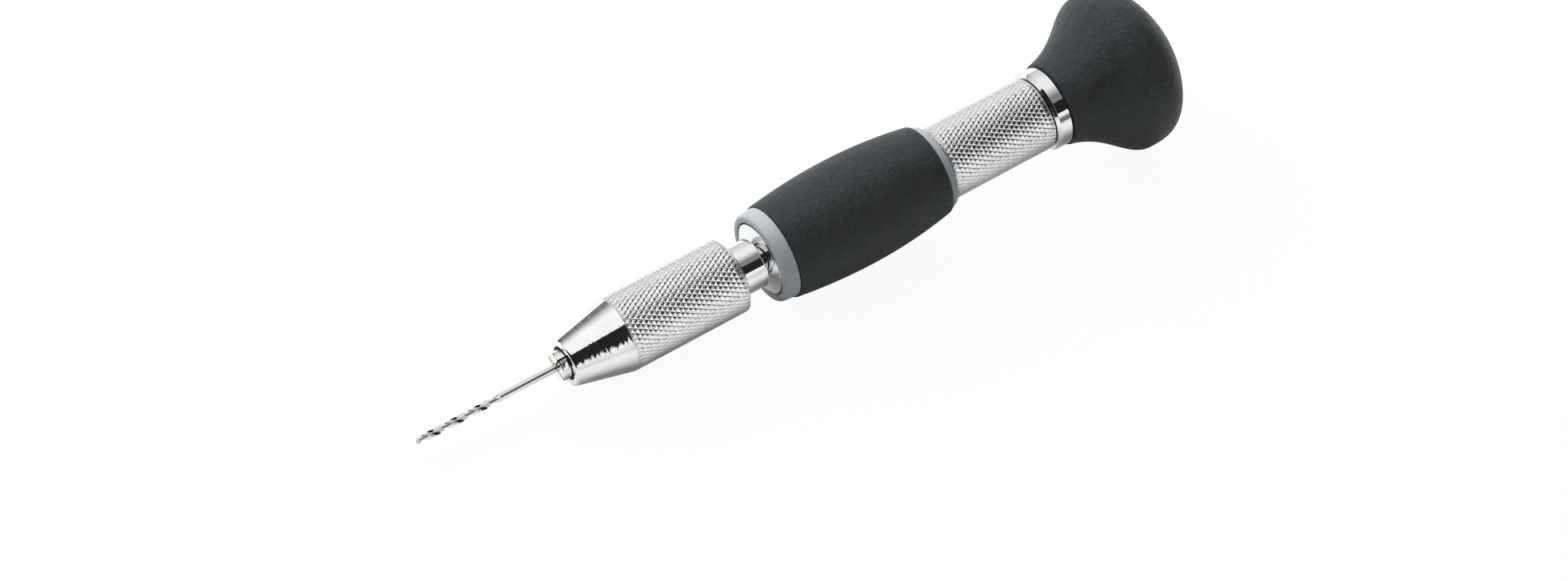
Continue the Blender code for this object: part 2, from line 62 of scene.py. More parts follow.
# Chuck nut
NUT_MOUTH_RADIUS = 2.35 * MM
NUT_NOSE_RADIUS = 3.17 * MM
NUT_NOSE_ROUND = 0.35 * MM
NUT_CONE_LENGTH = 7.8 * MM
NUT_TAIL_FACE_RADIUS = 3.95 * MM
NUT_TAIL_BEVEL = 0.65 * MM
NUT_SKIRT = 3.5 * MM
NUT_THREAD_RADIUS = 3.2 * MM
NUT_SHOULDER = 9.0 * MM
NUT_SEAT_FRONT = 0.5 * MM
NUT_MOUTH_EDGE = 0.08 * MM
NUT_TAIL_ROUND = 0.2 * MM
CONE_EDGE = 0.05 * MM
RUN_GAP = 0.1 * MM

# Knurling, in low domed diamonds with sharp corners. The slopes of a diamond are (width, height) from the
# grooves up.
KNURL_SLOPES = ((0.05 * MM, 0.0158 * MM), (0.17 * MM, 0.033 * MM))
KNURL_DEPTH = sum(height for width, height in KNURL_SLOPES)
KNURL_SMOOTH_ANGLE = math.radians(14.0)
KNURL_PITCH = 1.16 * MM  # along the axis
KNURL_SIDE_LEAN = (0.7, 0.95)  # least and most share of a diamond's side that runs along the axis
RIM_REACH = 0.02 * MM  # how far from its station a rim's points may lie
NUT_KNURL_COUNT = 46
BARREL_KNURL_COUNT = 46

# Collet
COLLET_BORE = 0.6 * MM
COLLET_RELIEF_BORE = 1.2 * MM
COLLET_GRIP_LENGTH = 6.0 * MM
COLLET_NOSE_RADIUS = 1.95 * MM
COLLET_BODY_RADIUS = 2.4 * MM
COLLET_NOSE_LENGTH = 1.7 * MM
COLLET_TAPER_LENGTH = 2.5 * MM
COLLET_SLIT_WIDTH = 0.26 * MM
COLLET_SLIT_DEPTH = 5.9 * MM
COLLET_SLITS = 2  # at each end, right across
COLLET_CLOCK = math.radians(15.0)
COLLET_EDGE = 0.12 * MM
COLLET_NOSE_ROUND = 0.3 * MM
SAW_REACH = 12.0 * MM
SAWN_LEAN = 0.1  # most that a sawn face leans towards the axis's ends
SAWN_OUTWARDS = 0.9  # most that it looks straight away from the axis

# Twist drill
DRILL_RADIUS = 0.5 * MM
DRILL_WEB = 0.34 * MM
DRILL_POINT_ANGLE = math.radians(118.0)
DRILL_END_CHAMFER = 0.1 * MM
DRILL_SEGMENTS = 64
FLUTE_HALF_WIDTH = math.radians(55.0)
FLUTE_LENGTH = 12.0 * MM
DRILL_REACH = 0.5 * MM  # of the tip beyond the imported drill's
FLUTE_RUNOUT = 1.8 * MM
FLUTE_LEAD = 6.75 * MM
FLUTE_CLOCK = math.radians(80.0)
FLUTE_STEPS = 160

# Spindle
SHAFT_RADIUS = 3.3 * MM
SHAFT_ROOT_ROUND = 0.15 * MM
SHAFT_COVERED = 3.0 * MM  # plain shaft inside the nut
SPINDLE_MOUTH_RADIUS = 2.338 * MM
SPINDLE_SEAT = 1.6 * MM  # length of the tapered seat
SPINDLE_POCKET = 3.55 * MM
THREAD_RADIUS = 3.1 * MM
FLANGE_RADIUS = 4.85 * MM
FLANGE_CONE = 0.87 * MM
FLANGE_RIM = 0.8 * MM
FLANGE_REACH = 0.4 * MM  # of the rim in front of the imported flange's
FLANGE_EDGE = 0.08 * MM
TAIL_RADIUS = 3.4 * MM
TAIL_LENGTH = 13.0 * MM

# Grip
CORE_BORE = 4.45 * MM
CORE_WAIST = 5.15 * MM
CORE_MOUTH = 5.0 * MM
CORE_MOUTH_DEPTH = 1.65 * MM
FRONT_RING_NOSE_RADIUS = 6.0 * MM
FRONT_RING_RADIUS = 6.2 * MM
FRONT_RING_LENGTH = 2.27 * MM
FRONT_RING_ROUND = 0.5 * MM
FRONT_RING_LIP = 0.22 * MM
FRONT_RING_BACK = 0.15 * MM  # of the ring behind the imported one's front
REAR_RING_RADIUS = 6.0 * MM
REAR_RING_END_RADIUS = 5.45 * MM
REAR_RING_LENGTH = 1.5 * MM
REAR_RING_SHORT = 0.26 * MM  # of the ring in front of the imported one's end
REAR_RING_ROUND = 0.5 * MM
RING_EDGE = 0.1 * MM
SLEEVE_BORE = 5.4 * MM
SLEEVE_FRONT_RADIUS = 6.4 * MM
SLEEVE_REAR_RADIUS = 6.13 * MM
SLEEVE_REACH = 0.2 * MM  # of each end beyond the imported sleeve's
SLEEVE_CREST_AT = 11.35 * MM  # behind the sleeve's front edge
SLEEVE_EDGE = 0.12 * MM

# Barrel and rear collar
BARREL_BORE = 3.65 * MM
BARREL_SEAT_RADIUS = 4.2 * MM
BARREL_SHOWING = 14.6 * MM
BARREL_REACH = 0.5 * MM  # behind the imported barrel's end
BARREL_LIP = 0.12 * MM
COLLAR_BORE = 1.6 * MM
COLLAR_STUB_RADIUS = 3.4 * MM
COLLAR_STUB_LENGTH = 8.35 * MM
COLLAR_BEVEL_LENGTH = 0.38 * MM
COLLAR_BEVEL_DEPTH = 0.32 * MM
COLLAR_EDGE = 0.06 * MM

# Palm knob
KNOB_STEM_BORE = 4.75 * MM
KNOB_HEAD_BORE = 7.65 * MM
KNOB_HEAD_FRONT = 7.5 * MM
KNOB_HEAD_REAR = 11.0 * MM
KNOB_NECK_RADIUS = 5.65 * MM
KNOB_CREST_AT = 9.6 * MM
KNOB_NECK_PULL = 5.4 * MM
KNOB_NECK_RISE = 1.1 * MM
KNOB_CREST_PULL = 2.0 * MM
KNOB_RIM_PULL = 3.2 * MM
KNOB_RIM_LENGTH = 5.1 * MM
KNOB_END_RADIUS = 2.8 * MM
KNOB_LIP = 0.18 * MM

# Finishes. A pair of roughnesses is the lowest and the highest, unless it says more.
BLACK = (0.0, 0.0, 0.0, 1.0)
WHITE = (1.0, 1.0, 1.0, 1.0)
CHROME = (0.88, 0.885, 0.89, 1.0)
CHROME_SMUDGED = (0.80, 0.805, 0.81, 1.0)
CHROME_ROUGHNESS = (0.03, 0.075)  # clean and smudged
SCRATCH_ROUGHNESS = 0.05  # added in a scratch
CREST_CHROME = (0.93, 0.935, 0.94, 1.0)
# Painted shade: the colour that the knurl's pits darken to towards their bottoms
PIT_PAINTED_SHADE = (0.66, 0.66, 0.67, 1.0)
PIT_UNSHADED = 0.68  # share of the knurl's depth, from the crests down, that has no painted shade
KNURL_ROUGHNESS = (0.05, 0.25)  # on the crests and in the pits
COLLET_STEEL = (0.84, 0.84, 0.82, 1.0)
COLLET_ROUGHNESS = 0.05
# Painted shade: near-black steel for the nut's bore and the collet's slits, where there is only shade
PAINTED_SHADE_STEEL = (0.05, 0.05, 0.052, 1.0)
BORE_ROUGHNESS = 0.35
SAWN_ROUGHNESS = 0.4
STEEL_STAIN = 0.72  # of its colour, in smudged turning marks
STEEL_DULLING = 1.6  # of its roughness, on the ridges of the turning marks
DRILL_STEEL = (0.76, 0.755, 0.745, 1.0)
DRILL_ROUGHNESS = (0.06, 0.12)
# Painted shade: the darker colour in the drill's flutes
FLUTE_SHADE_STEEL = (0.45, 0.447, 0.44, 1.0)
FLUTE_TOP = 0.9  # share of the drill's radius below which the painted shade in a flute sets in
ZINC = (0.66, 0.67, 0.69, 1.0)
ZINC_ROUGHNESS = 0.25
CORE_GREY = (0.282, 0.302, 0.311, 1.0)
WASHER_WHITE = (0.74, 0.73, 0.69, 1.0)
KNOB_CORE_GREY = (0.08, 0.08, 0.085, 1.0)
PLASTIC_MOTTLE = 0.9  # of its colour, in the darker spots
PLASTIC_ROUGHNESS = (0.5, 0.4)  # clean and handled
RUBBER_BLACK = (0.0138, 0.0151, 0.0162, 1.0)
RUBBER_DUSTY = (0.0215, 0.0235, 0.025, 1.0)
RUBBER_SHEEN = (0.89, 0.97, 1.0, 1.0)
RUBBER_BLOOM = 0.08
RUBBER_BLOOM_ROUGHNESS = 0.45
RUBBER_GLOSS = 0.38
RUBBER_ROUGHNESS = (0.5, 0.7)
RUBBER_POLISH = 0.05  # less rough where it is handled
PEBBLE_HEIGHTS = (-0.5, 0.4)  # between the pebbles and on top of them
PEBBLE_DUST = (0.3, 1.4)  # share of the dust at those heights
NOISE_MIDDLE = 0.5
NOISE_SPREAD = (0.2, 0.8)  # nearly all of a noise lies between these
MARK_PITCH = 0.45 * MM
MARK_DRIFT = 90.0  # per metre round the piece
DEEP_MARKS = 0.024 * MM
FINE_MARKS = 0.0008 * MM
SMUDGE_SCALE = 260.0  # per metre
SMUDGE_SPREAD = (0.42, 0.72)  # of the noise, from clean to smudged
SCRATCH_ALONG = 160.0
SCRATCH_ACROSS = 1100.0
SCRATCH_WIDTH = 0.006  # of the noise, to each side of its middle
MOTTLE_SHARE = 0.3  # wide mottling against fine grain
MOTTLE_SPREAD = (0.3, 0.7)
PLATING_GRAIN = 0.16 * MM
PLATING_GRAIN_DEPTH = 0.004 * MM
PLASTIC_GRAIN = 0.2 * MM
PLASTIC_GRAIN_DEPTH = 0.006 * MM
RUBBER_GRAIN = 0.6 * MM
RUBBER_GRAIN_DEPTH = 0.06 * MM

# Camera, at the photograph's angle
CAMERA_AZIMUTH = math.radians(-33.77)
CAMERA_ELEVATION = math.radians(52.46)
CAMERA_ROLL = math.radians(-0.216)
CAMERA_DISTANCE = 650.0 * MM
CAMERA_AIM = Vector((-6.733, -6.396, 11.765)) * MM
CAMERA_LENS = 119.98  # in mm, as the sensor
CAMERA_SENSOR = 36.0
CAMERA_CLEAR = 10.0 * MM  # nearest thing that it shows

# Floor, tilted so that the tool rests on its knob and on the rim of the nut's cone
FLOOR_SIZE = 6.0
FLOOR_GAP = 0.05 * MM
FLOOR_WHITE = (0.65, 0.65, 0.65, 1.0)
FLOOR_PALE = (0.61, 0.61, 0.61, 1.0)
FLOOR_FIBRES = 900.0  # per metre
FLOOR_ROUGHNESS = 0.9
FLOOR_GLOW = 0.95  # share of plain white in the floor that the camera sees
FLOOR_GLOW_IN_METAL = 0.04  # and in the floor that metal mirrors

# Studio light. Angles are in half turns, up from the camera's side and over to the far side, and places
# along the tool run from 0, straight ahead of the drill, to 1, straight behind the knob.
# Soft light on dull surfaces: (angle, brightness)
AMBIENT = ((0.0, 1.3), (0.18, 0.85), (0.34, 0.2), (0.55, 0.34), (0.8, 0.5))
AMBIENT_BEHIND = 0.1  # share of it behind the knob
AMBIENT_FADE = (0.5, 0.9)  # places along, between the full light and that share
# A lamp over the far side
SOFTBOX_SIZE = (1.5, 1.05)
SOFTBOX_PLACE = Vector((0.0, 0.75, 0.76))
SOFTBOX_POWER = 31.0
# White walls that bright metal sees: (angle, brightness). The front one lies between its two fades, and
# the side one is before and after it.
FRONT_WALL = (
    (0.0, 1.0), (0.3, 1.1), (0.69, 1.1), (0.78, 0.74), (0.84, 0.36), (0.885, 0.13), (0.915, 0.01),
)
FRONT_WALL_START = (0.25, 0.4)  # places along
FRONT_WALL_END = (0.475, 0.65)
SIDE_WALL = ((0.0, 1.0), (0.3, 1.0), (0.74, 0.98), (0.83, 0.82), (0.97, 0.72), (0.99, 0.35))
# Dark openings in the walls on the camera's side, one ahead, a strip at the side and one behind: (place
# along, angle). The wall is closed where the top is below the bottom.
OPENING_TOP = (
    (0.0, 1.0), (0.142, 0.61), (0.42, 0.406), (0.475, 0.405),
    (0.49, 0.28), (0.6, 0.28),
    (0.62, 0.3), (0.64, 0.35), (0.67, 0.35), (0.7, 0.312), (0.715, 0.31),
    (0.722, 0.71), (0.75, 0.71), (0.79, 0.62), (1.0, 0.62),
)
OPENING_BOTTOM = (
    (0.0, 0.0), (0.142, 0.055), (0.39, 0.05), (0.405, 0.066), (0.4225, 0.124), (0.475, 0.207),
    (0.49, 0.32), (0.6, 0.32),
    (0.62, 0.3), (0.64, 0.148), (0.67, 0.148), (0.7, 0.136), (0.715, 0.136),
    (0.722, 0.13), (0.75, 0.12), (0.79, 0.07), (1.0, 0.07),
)
OPENING_SHADE = 0.018
OPENING_EDGE = 0.004
WALL_SHADE = 0.24  # of the wall just above an opening
# How far up that shade goes: (place along, angle)
SHADE_REACH = ((0.0, 0.02), (0.53, 0.02), (0.58, 0.9), (0.7, 1.0), (0.735, 0.1), (1.0, 0.1))
SHADE_FADE = (0.1, 0.26)  # shares of that reach
SHADE_UNDER = 0.02  # angle over which it sets in above an opening's bottom
HORIZON_ANGLE = 0.02  # of a darker line low on the camera's side
HORIZON_FADE = (0.03, 0.07)  # from the line's core to its edge
HORIZON_PLACES = (0.665, 0.697)  # along, where the line grows darker
HORIZON_DEPTH = (0.15, 0.82)


def span(node):
    """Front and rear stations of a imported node."""
    low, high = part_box(node)
    return low.x, high.x


def outer_radius(node):
    """Outer radius of a packed round node, at the corners of its facets."""
    low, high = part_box(node)
    return (high.y - low.y) / 2.0 / math.cos(math.pi / CAD_SIDES)


AXIS_HEIGHT = sum(corner.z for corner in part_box("knob_cover")) / 2.0
NUT_FRONT, NUT_REAR = span("chuck_nut")
NUT_RADIUS = outer_radius("chuck_nut")


# Modelling

def start_clean():
    """Leave edit mode and deselect everything."""
    if bpy.context.object and bpy.context.object.mode != "OBJECT":
        bpy.ops.object.mode_set(mode="OBJECT")
    bpy.ops.object.select_all(action="DESELECT")


def pick(piece):
    """Make a piece the active one, and the only one selected."""
    start_clean()
    piece.select_set(True)
    bpy.context.view_layer.objects.active = piece


def edit(piece):
    """Pick a piece, and edit it."""
    pick(piece)
    bpy.ops.object.mode_set(mode="EDIT")


def select_where(piece, kind, test):
    """Select the vertices, edges or faces of a piece that pass a test, and nothing else."""
    bpy.ops.mesh.select_mode(type={"vertices": "VERT", "edges": "EDGE", "polygons": "FACE"}[kind])
    bpy.ops.mesh.select_all(action="DESELECT")
    bpy.ops.object.mode_set(mode="OBJECT")
    for part in getattr(piece.data, kind):
        part.select = test(part)
    bpy.ops.object.mode_set(mode="EDIT")


def apply_modifiers(piece):
    """Apply all modifiers of a piece to its mesh."""
    pick(piece)
    for modifier in list(piece.modifiers):
        bpy.ops.object.modifier_apply(modifier=modifier.name)


def smooth(piece, angle=SMOOTH_ANGLE):
    """Shade a piece smooth, apart from the edges that are sharper than an angle."""
    pick(piece)
    bpy.ops.object.shade_smooth_by_angle(angle=angle)


def rounded(corners):
    """An outline through (station, radius, rounding) corners, with an arc at each rounded corner."""
    points = []
    places = [Vector(corner[:2]) for corner in corners]
    for index, here in enumerate(places):
        rounding = corners[index][2]
        if rounding == 0.0:
            points.append(here)
            continue
        before = (places[index - 1] - here).normalized()
        after = (places[(index + 1) % len(places)] - here).normalized()
        half = before.angle(after) / 2.0
        centre = here + (before + after).normalized() * rounding / math.sin(half)
        reach = rounding / math.tan(half)
        first = here + before * reach - centre
        last = here + after * reach - centre
        sweep = first.angle(last)
        points.append(here + before * (reach + SHADE_STRIP))
        for step in range(ARC_STEPS + 1):
            share = step / ARC_STEPS
            bend = first * math.sin((1.0 - share) * sweep) + last * math.sin(share * sweep)
            points.append(centre + bend / math.sin(sweep))
        points.append(here + after * (reach + SHADE_STRIP))
    return points


def bezier(first, pull_first, pull_last, last):
    """Points of a cubic curve in an outline."""
    points = []
    for step in range(CURVE_STEPS + 1):
        t = step / CURVE_STEPS
        weights = ((1 - t) ** 3, 3 * t * (1 - t) ** 2, 3 * t * t * (1 - t), t ** 3)
        corners = (first, pull_first, pull_last, last)
        points.append(sum((Vector(c) * w for w, c in zip(weights, corners)), Vector((0.0, 0.0))))
    return points


def rise(end, crest):
    """An arc from one end of a crowned outline to its crest, where it is level."""
    run = crest[0] - end[0]
    drop = crest[1] - end[1]
    bend = (run * run + drop * drop) / (2.0 * drop)
    points = []
    for step in range(CURVE_STEPS + 1):
        off = run * (step / CURVE_STEPS - 1.0)
        points.append(Vector((crest[0] + off, crest[1] - bend + math.sqrt(bend * bend - off * off))))
    return points


def draw_outline(name, outline, closed):
    """A new piece that holds one outline, drawn by extruding a point from place to place."""
    start_clean()
    bpy.ops.mesh.primitive_plane_add(size=MM, location=(0.0, 0.0, 0.0))
    piece = bpy.context.object
    piece.name = name
    piece.data.name = name
    bpy.ops.object.mode_set(mode="EDIT")
    bpy.ops.mesh.select_mode(type="VERT")
    bpy.ops.mesh.select_all(action="SELECT")
    bpy.ops.mesh.merge(type="CENTER")
    places = [Vector((station, 0.0, AXIS_HEIGHT + radius)) for station, radius in outline]
    bpy.ops.transform.translate(value=places[0])
    for here, there in zip(places, places[1:]):
        bpy.ops.mesh.extrude_region_move(TRANSFORM_OT_translate={"value": there - here})
    if closed:
        ends = (0, len(places) - 1)
        select_where(piece, "vertices", lambda vert: vert.index in ends)
        bpy.ops.mesh.edge_face_add()
    return piece


def lathe(name, outline, closed=True, segments=ROUND_SEGMENTS):
    """A piece turned from an outline."""
    piece = draw_outline(name, outline, closed)
    bpy.ops.mesh.select_all(action="SELECT")
    centre = (0.0, 0.0, AXIS_HEIGHT)
    bpy.ops.mesh.spin(steps=segments, angle=2.0 * math.pi, center=centre, axis=(1.0, 0.0, 0.0))
    bpy.ops.mesh.select_all(action="SELECT")
    bpy.ops.mesh.remove_doubles(threshold=WELD)
    bpy.ops.mesh.normals_make_consistent(inside=False)
    smooth(piece)
    return piece


def knurled_band(name, front, rear, radius, count):
    """A band of rolled diamonds: a turned tube whose cells are crossed, then raised one by one."""
    rows = round((rear - front) / KNURL_PITCH)
    line = [(front + (rear - front) * row / rows, radius - KNURL_DEPTH) for row in range(rows + 1)]
    band = lathe(name, line, closed=False, segments=count)
    corners = len(band.data.vertices)
    edit(band)
    bpy.ops.mesh.select_all(action="SELECT")
    bpy.ops.mesh.poke()
    bpy.ops.object.mode_set(mode="OBJECT")
    stations = [vert.co.x for vert in band.data.vertices]

    def between_cells(edge):
        ends = [stations[index] for index in edge.vertices]
        on_rim = max(ends) < front + WELD or min(ends) > rear - WELD
        return all(index < corners for index in edge.vertices) and not on_rim

    bpy.ops.object.mode_set(mode="EDIT")
    select_where(band, "edges", between_cells)
    bpy.ops.mesh.dissolve_edges(use_verts=False)
    select_where(band, "polygons", lambda face: len(face.vertices) == 4)
    for width, height in KNURL_SLOPES:
        bpy.ops.mesh.inset(thickness=width, depth=height, use_individual=True)
    smooth(band, KNURL_SMOOTH_ANGLE)
    edit(band)
    verts = band.data.vertices

    def climbs_corner(edge):
        run = verts[edge.vertices[0]].co - verts[edge.vertices[1]].co
        least, most = KNURL_SIDE_LEAN
        return not least < abs(run.x) / run.length < most

    select_where(band, "edges", climbs_corner)
    bpy.ops.mesh.mark_sharp()
    return band


def select_open_rims():
    """Select the open rims of the piece that is edited, and nothing else."""
    bpy.ops.mesh.select_all(action="DESELECT")
    bpy.ops.mesh.select_mode(type="EDGE")
    bpy.ops.mesh.select_non_manifold(
        extend=False, use_wire=False, use_multi_face=False, use_verts=False)


def bridge_rings(piece, station):
    """Close the gap between two open rims that lie at one station."""
    edit(piece)
    select_open_rims()
    bpy.ops.object.mode_set(mode="OBJECT")
    verts = piece.data.vertices
    for edge in piece.data.edges:
        near = all(abs(verts[index].co.x - station) < RIM_REACH for index in edge.vertices)
        edge.select = edge.select and near
    bpy.ops.object.mode_set(mode="EDIT")
    bpy.ops.mesh.bridge_edge_loops()
    bpy.ops.object.mode_set(mode="OBJECT")


def join(pieces):
    """Make one piece of several. It keeps the first one's name."""
    start_clean()
    for piece in pieces:
        piece.select_set(True)
    bpy.context.view_layer.objects.active = pieces[0]
    bpy.ops.object.join()
    return pieces[0]


def soften_rim(piece, station, radius, width):
    """Round off a sharp rim of a turned piece."""
    edit(piece)
    verts = piece.data.vertices

    def on_rim(edge):
        return all(is_at(verts[index].co, station, radius) for index in edge.vertices)

    select_where(piece, "edges", on_rim)
    bpy.ops.mesh.bevel(offset=width, segments=ARC_STEPS, clamp_overlap=True)
    smooth(piece)


def off_axis(point):
    """How far a point lies from the tool axis."""
    return math.hypot(point.y, point.z - AXIS_HEIGHT)


def is_at(point, station, radius):
    """True for a point at a station and a radius."""
    return abs(point.x - station) < RIM_REACH and abs(off_axis(point) - radius) < RIM_REACH


def give_material(piece, index, test):
    """Give the faces that pass a test another of the piece's materials."""
    for face in piece.data.polygons:
        if test(face):
            face.material_index = index


def cut_slit(piece, width, depth, station, clock):
    """Saw a slit right across one end of a piece. It runs to both sides of a station by its depth."""
    start_clean()
    bpy.ops.mesh.primitive_cube_add(size=1.0, location=(station, 0.0, AXIS_HEIGHT))
    saw = bpy.context.object
    saw.scale = (2.0 * depth, width, SAW_REACH)
    saw.rotation_euler = (clock, 0.0, 0.0)
    cut = piece.modifiers.new("slit", "BOOLEAN")
    cut.operation = "DIFFERENCE"
    cut.solver = "EXACT"
    cut.object = saw
    apply_modifiers(piece)
    bpy.data.objects.remove(saw, do_unlink=True)


# Materials

def add(tree, kind, inputs=None, **settings):
    """Add a node to a tree. Each input is a value, or a socket to link it from."""
    node = tree.nodes.new(kind)
    for name, value in settings.items():
        setattr(node, name, value)
    for name, value in (inputs or {}).items():
        if isinstance(value, bpy.types.NodeSocket):
            tree.links.new(value, node.inputs[name])
        else:
            node.inputs[name].default_value = value
    return node


def math_node(tree, operation, *values):
    """The result of a calculation with one or two values or sockets."""
    return add(tree, "ShaderNodeMath", dict(enumerate(values)), operation=operation).outputs[0]


def map_range(tree, value, low, high, to_low, to_high):
    """A value carried over from one range to another, and kept inside it."""
    ends = {"Value": value, "From Min": low, "From Max": high, "To Min": to_low, "To Max": to_high}
    return add(tree, "ShaderNodeMapRange", ends).outputs["Result"]


def blend_colours(tree, share, first, second):
    """The first colour, and the second one by a share."""
    inputs = {"Fac": share, "Color1": first, "Color2": second}
    return add(tree, "ShaderNodeMixRGB", inputs).outputs["Color"]


def new_group(name, inputs, outputs):
    """An empty shader node group with a Place input and other named sockets, and its two ends."""
    group = bpy.data.node_groups.new(name, "ShaderNodeTree")
    group.interface.new_socket("Place", in_out="INPUT", socket_type="NodeSocketVector")
    for socket in inputs:
        group.interface.new_socket(socket, in_out="INPUT", socket_type="NodeSocketFloat")
    for socket in outputs:
        group.interface.new_socket(socket, in_out="OUTPUT", socket_type="NodeSocketFloat")
    return group, add(group, "NodeGroupInput").outputs, add(group, "NodeGroupOutput").inputs


def stretched(tree, place, along, across):
    """A place scaled along the tool axis and across it."""
    scale = add(tree, "ShaderNodeCombineXYZ", {"X": along, "Y": across, "Z": across})
    inputs = {0: place, 1: scale.outputs[0]}
    return add(tree, "ShaderNodeVectorMath", inputs, operation="MULTIPLY").outputs[0]


def noise(tree, place, scale, detail):
    """A cloudy value from 0 to 1."""
    inputs = {"Vector": place, "Scale": scale, "Detail": detail}
    return add(tree, "ShaderNodeTexNoise", inputs).outputs["Fac"]


def make_turning_marks():
    """Rings left by a lathe tool: uneven along the axis, and slowly changing round it."""
    group, given, result = new_group("turning marks", ["Pitch"], ["Height"])
    density = math_node(group, "DIVIDE", 1.0, given["Pitch"])
    place = stretched(group, given["Place"], density, MARK_DRIFT)
    group.links.new(noise(group, place, 1.0, 2.0), result["Height"])
    return group


def make_handling():
    """Smudges of handling, and hairline scratches."""
    group, given, result = new_group("handling", [], ["Smudge", "Scratch"])
    blots = noise(group, given["Place"], SMUDGE_SCALE, 4.0)
    smudge = map_range(group, blots, *SMUDGE_SPREAD, 0.0, 1.0)
    streaks = stretched(group, given["Place"], SCRATCH_ALONG, SCRATCH_ACROSS)
    hair = math_node(group, "SUBTRACT", noise(group, streaks, 1.0, 1.0), NOISE_MIDDLE)
    scratch = map_range(group, math_node(group, "ABSOLUTE", hair), 0.0, SCRATCH_WIDTH, 1.0, 0.0)
    group.links.new(smudge, result["Smudge"])
    group.links.new(scratch, result["Scratch"])
    return group


def make_moulded_grain():
    """Fine pebbles of a moulded surface, and wider mottling."""
    group, given, result = new_group("moulded grain", ["Size"], ["Height", "Mottle"])
    density = math_node(group, "DIVIDE", 1.0, given["Size"])
    inputs = {"Vector": given["Place"], "Scale": density}
    cells = add(group, "ShaderNodeTexVoronoi", inputs, feature="F1").outputs["Distance"]
    pebbles = math_node(group, "SUBTRACT", noise(group, given["Place"], density, 3.0), cells)
    wide = math_node(group, "MULTIPLY", density, MOTTLE_SHARE)
    clouds = noise(group, given["Place"], wide, 4.0)
    mottle = map_range(group, clouds, *MOTTLE_SPREAD, 0.0, 1.0)
    group.links.new(pebbles, result["Height"])
    group.links.new(mottle, result["Mottle"])
    return group


def make_axis_distance():
    """How far out from the tool axis a place is, in metres."""
    group, given, result = new_group("axis distance", [], ["Radius"])
    axes = add(group, "ShaderNodeSeparateXYZ", {"Vector": given["Place"]}).outputs
    lifted = math_node(group, "SUBTRACT", axes["Z"], AXIS_HEIGHT)
    outwards = add(group, "ShaderNodeCombineXYZ", {"X": 0.0, "Y": axes["Y"], "Z": lifted})
    reach = add(group, "ShaderNodeVectorMath", {0: outwards.outputs[0]}, operation="LENGTH")
    group.links.new(reach.outputs["Value"], result["Radius"])
    return group


def new_material(name):
    """A new material: its tree, its Principled shader and the place on the piece."""
    material = bpy.data.materials.new(name)
    material.use_nodes = True
    tree = material.node_tree
    shader = tree.nodes["Principled BSDF"]
    place = add(tree, "ShaderNodeTexCoord").outputs["Object"]
    return material, tree, shader, place


def use(tree, group, **inputs):
    """The outputs of a node group used in a material."""
    return add(tree, "ShaderNodeGroup", inputs, node_tree=group).outputs


def bump(tree, height, depth):
    """A normal that follows a height, with the depth in metres that a height of 1 stands for."""
    return add(tree, "ShaderNodeBump", {"Height": height, "Distance": depth}).outputs["Normal"]


def feed(tree, shader, colour, roughness, normal):
    """Link a material's colour, roughness and normal to its shader."""
    tree.links.new(colour, shader.inputs["Base Color"])
    tree.links.new(roughness, shader.inputs["Roughness"])
    tree.links.new(normal, shader.inputs["Normal"])


def darkened(colour, share):
    """A share of a colour."""
    return tuple(channel * share for channel in colour[:3]) + (1.0,)


def polished_chrome(name, marks):
    """Bright chrome with turning marks of a given depth."""
    material, tree, shader, place = new_material(name)
    handled = use(tree, handling, Place=place)
    turned = use(tree, turning_marks, Place=place, Pitch=MARK_PITCH)
    colour = blend_colours(tree, handled["Smudge"], CHROME, CHROME_SMUDGED)
    dulled = map_range(tree, handled["Smudge"], 0.0, 1.0, *CHROME_ROUGHNESS)
    worn = math_node(tree, "MULTIPLY", handled["Scratch"], SCRATCH_ROUGHNESS)
    rough = math_node(tree, "ADD", dulled, worn)
    feed(tree, shader, colour, rough, bump(tree, turned["Height"], marks))
    shader.inputs["Metallic"].default_value = 1.0
    return material


def knurled_chrome(name, radius):
    """Chrome over rolled diamonds, with painted shade that makes it darker and duller in the pits than on
    the worn crests.
    """
    material, tree, shader, place = new_material(name)
    handled = use(tree, handling, Place=place)
    height = use(tree, axis_distance, Place=place)["Radius"]
    # pit is the mask of painted shade, full at the bottom of the pits and none above PIT_UNSHADED
    pit = map_range(tree, height, radius - KNURL_DEPTH, radius - PIT_UNSHADED * KNURL_DEPTH, 1.0, 0.0)
    worn = blend_colours(tree, handled["Smudge"], CREST_CHROME, CHROME)
    colour = blend_colours(tree, pit, worn, PIT_PAINTED_SHADE)
    rough = map_range(tree, pit, 0.0, 1.0, *KNURL_ROUGHNESS)
    grain = use(tree, moulded_grain, Place=place, Size=PLATING_GRAIN)
    feed(tree, shader, colour, rough, bump(tree, grain["Height"], PLATING_GRAIN_DEPTH))
    shader.inputs["Metallic"].default_value = 1.0
    return material


def ground_steel(name, colour, roughness, mark_depth):
    """Bare steel with the marks of turning or grinding round the axis."""
    material, tree, shader, place = new_material(name)
    handled = use(tree, handling, Place=place)
    turned = use(tree, turning_marks, Place=place, Pitch=MARK_PITCH)
    shade = math_node(tree, "MULTIPLY", turned["Height"], handled["Smudge"])
    stained = blend_colours(tree, shade, colour, darkened(colour, STEEL_STAIN))
    rough = map_range(tree, turned["Height"], *NOISE_SPREAD, roughness, roughness * STEEL_DULLING)
    feed(tree, shader, stained, rough, bump(tree, turned["Height"], mark_depth))
    shader.inputs["Metallic"].default_value = 1.0
    return material


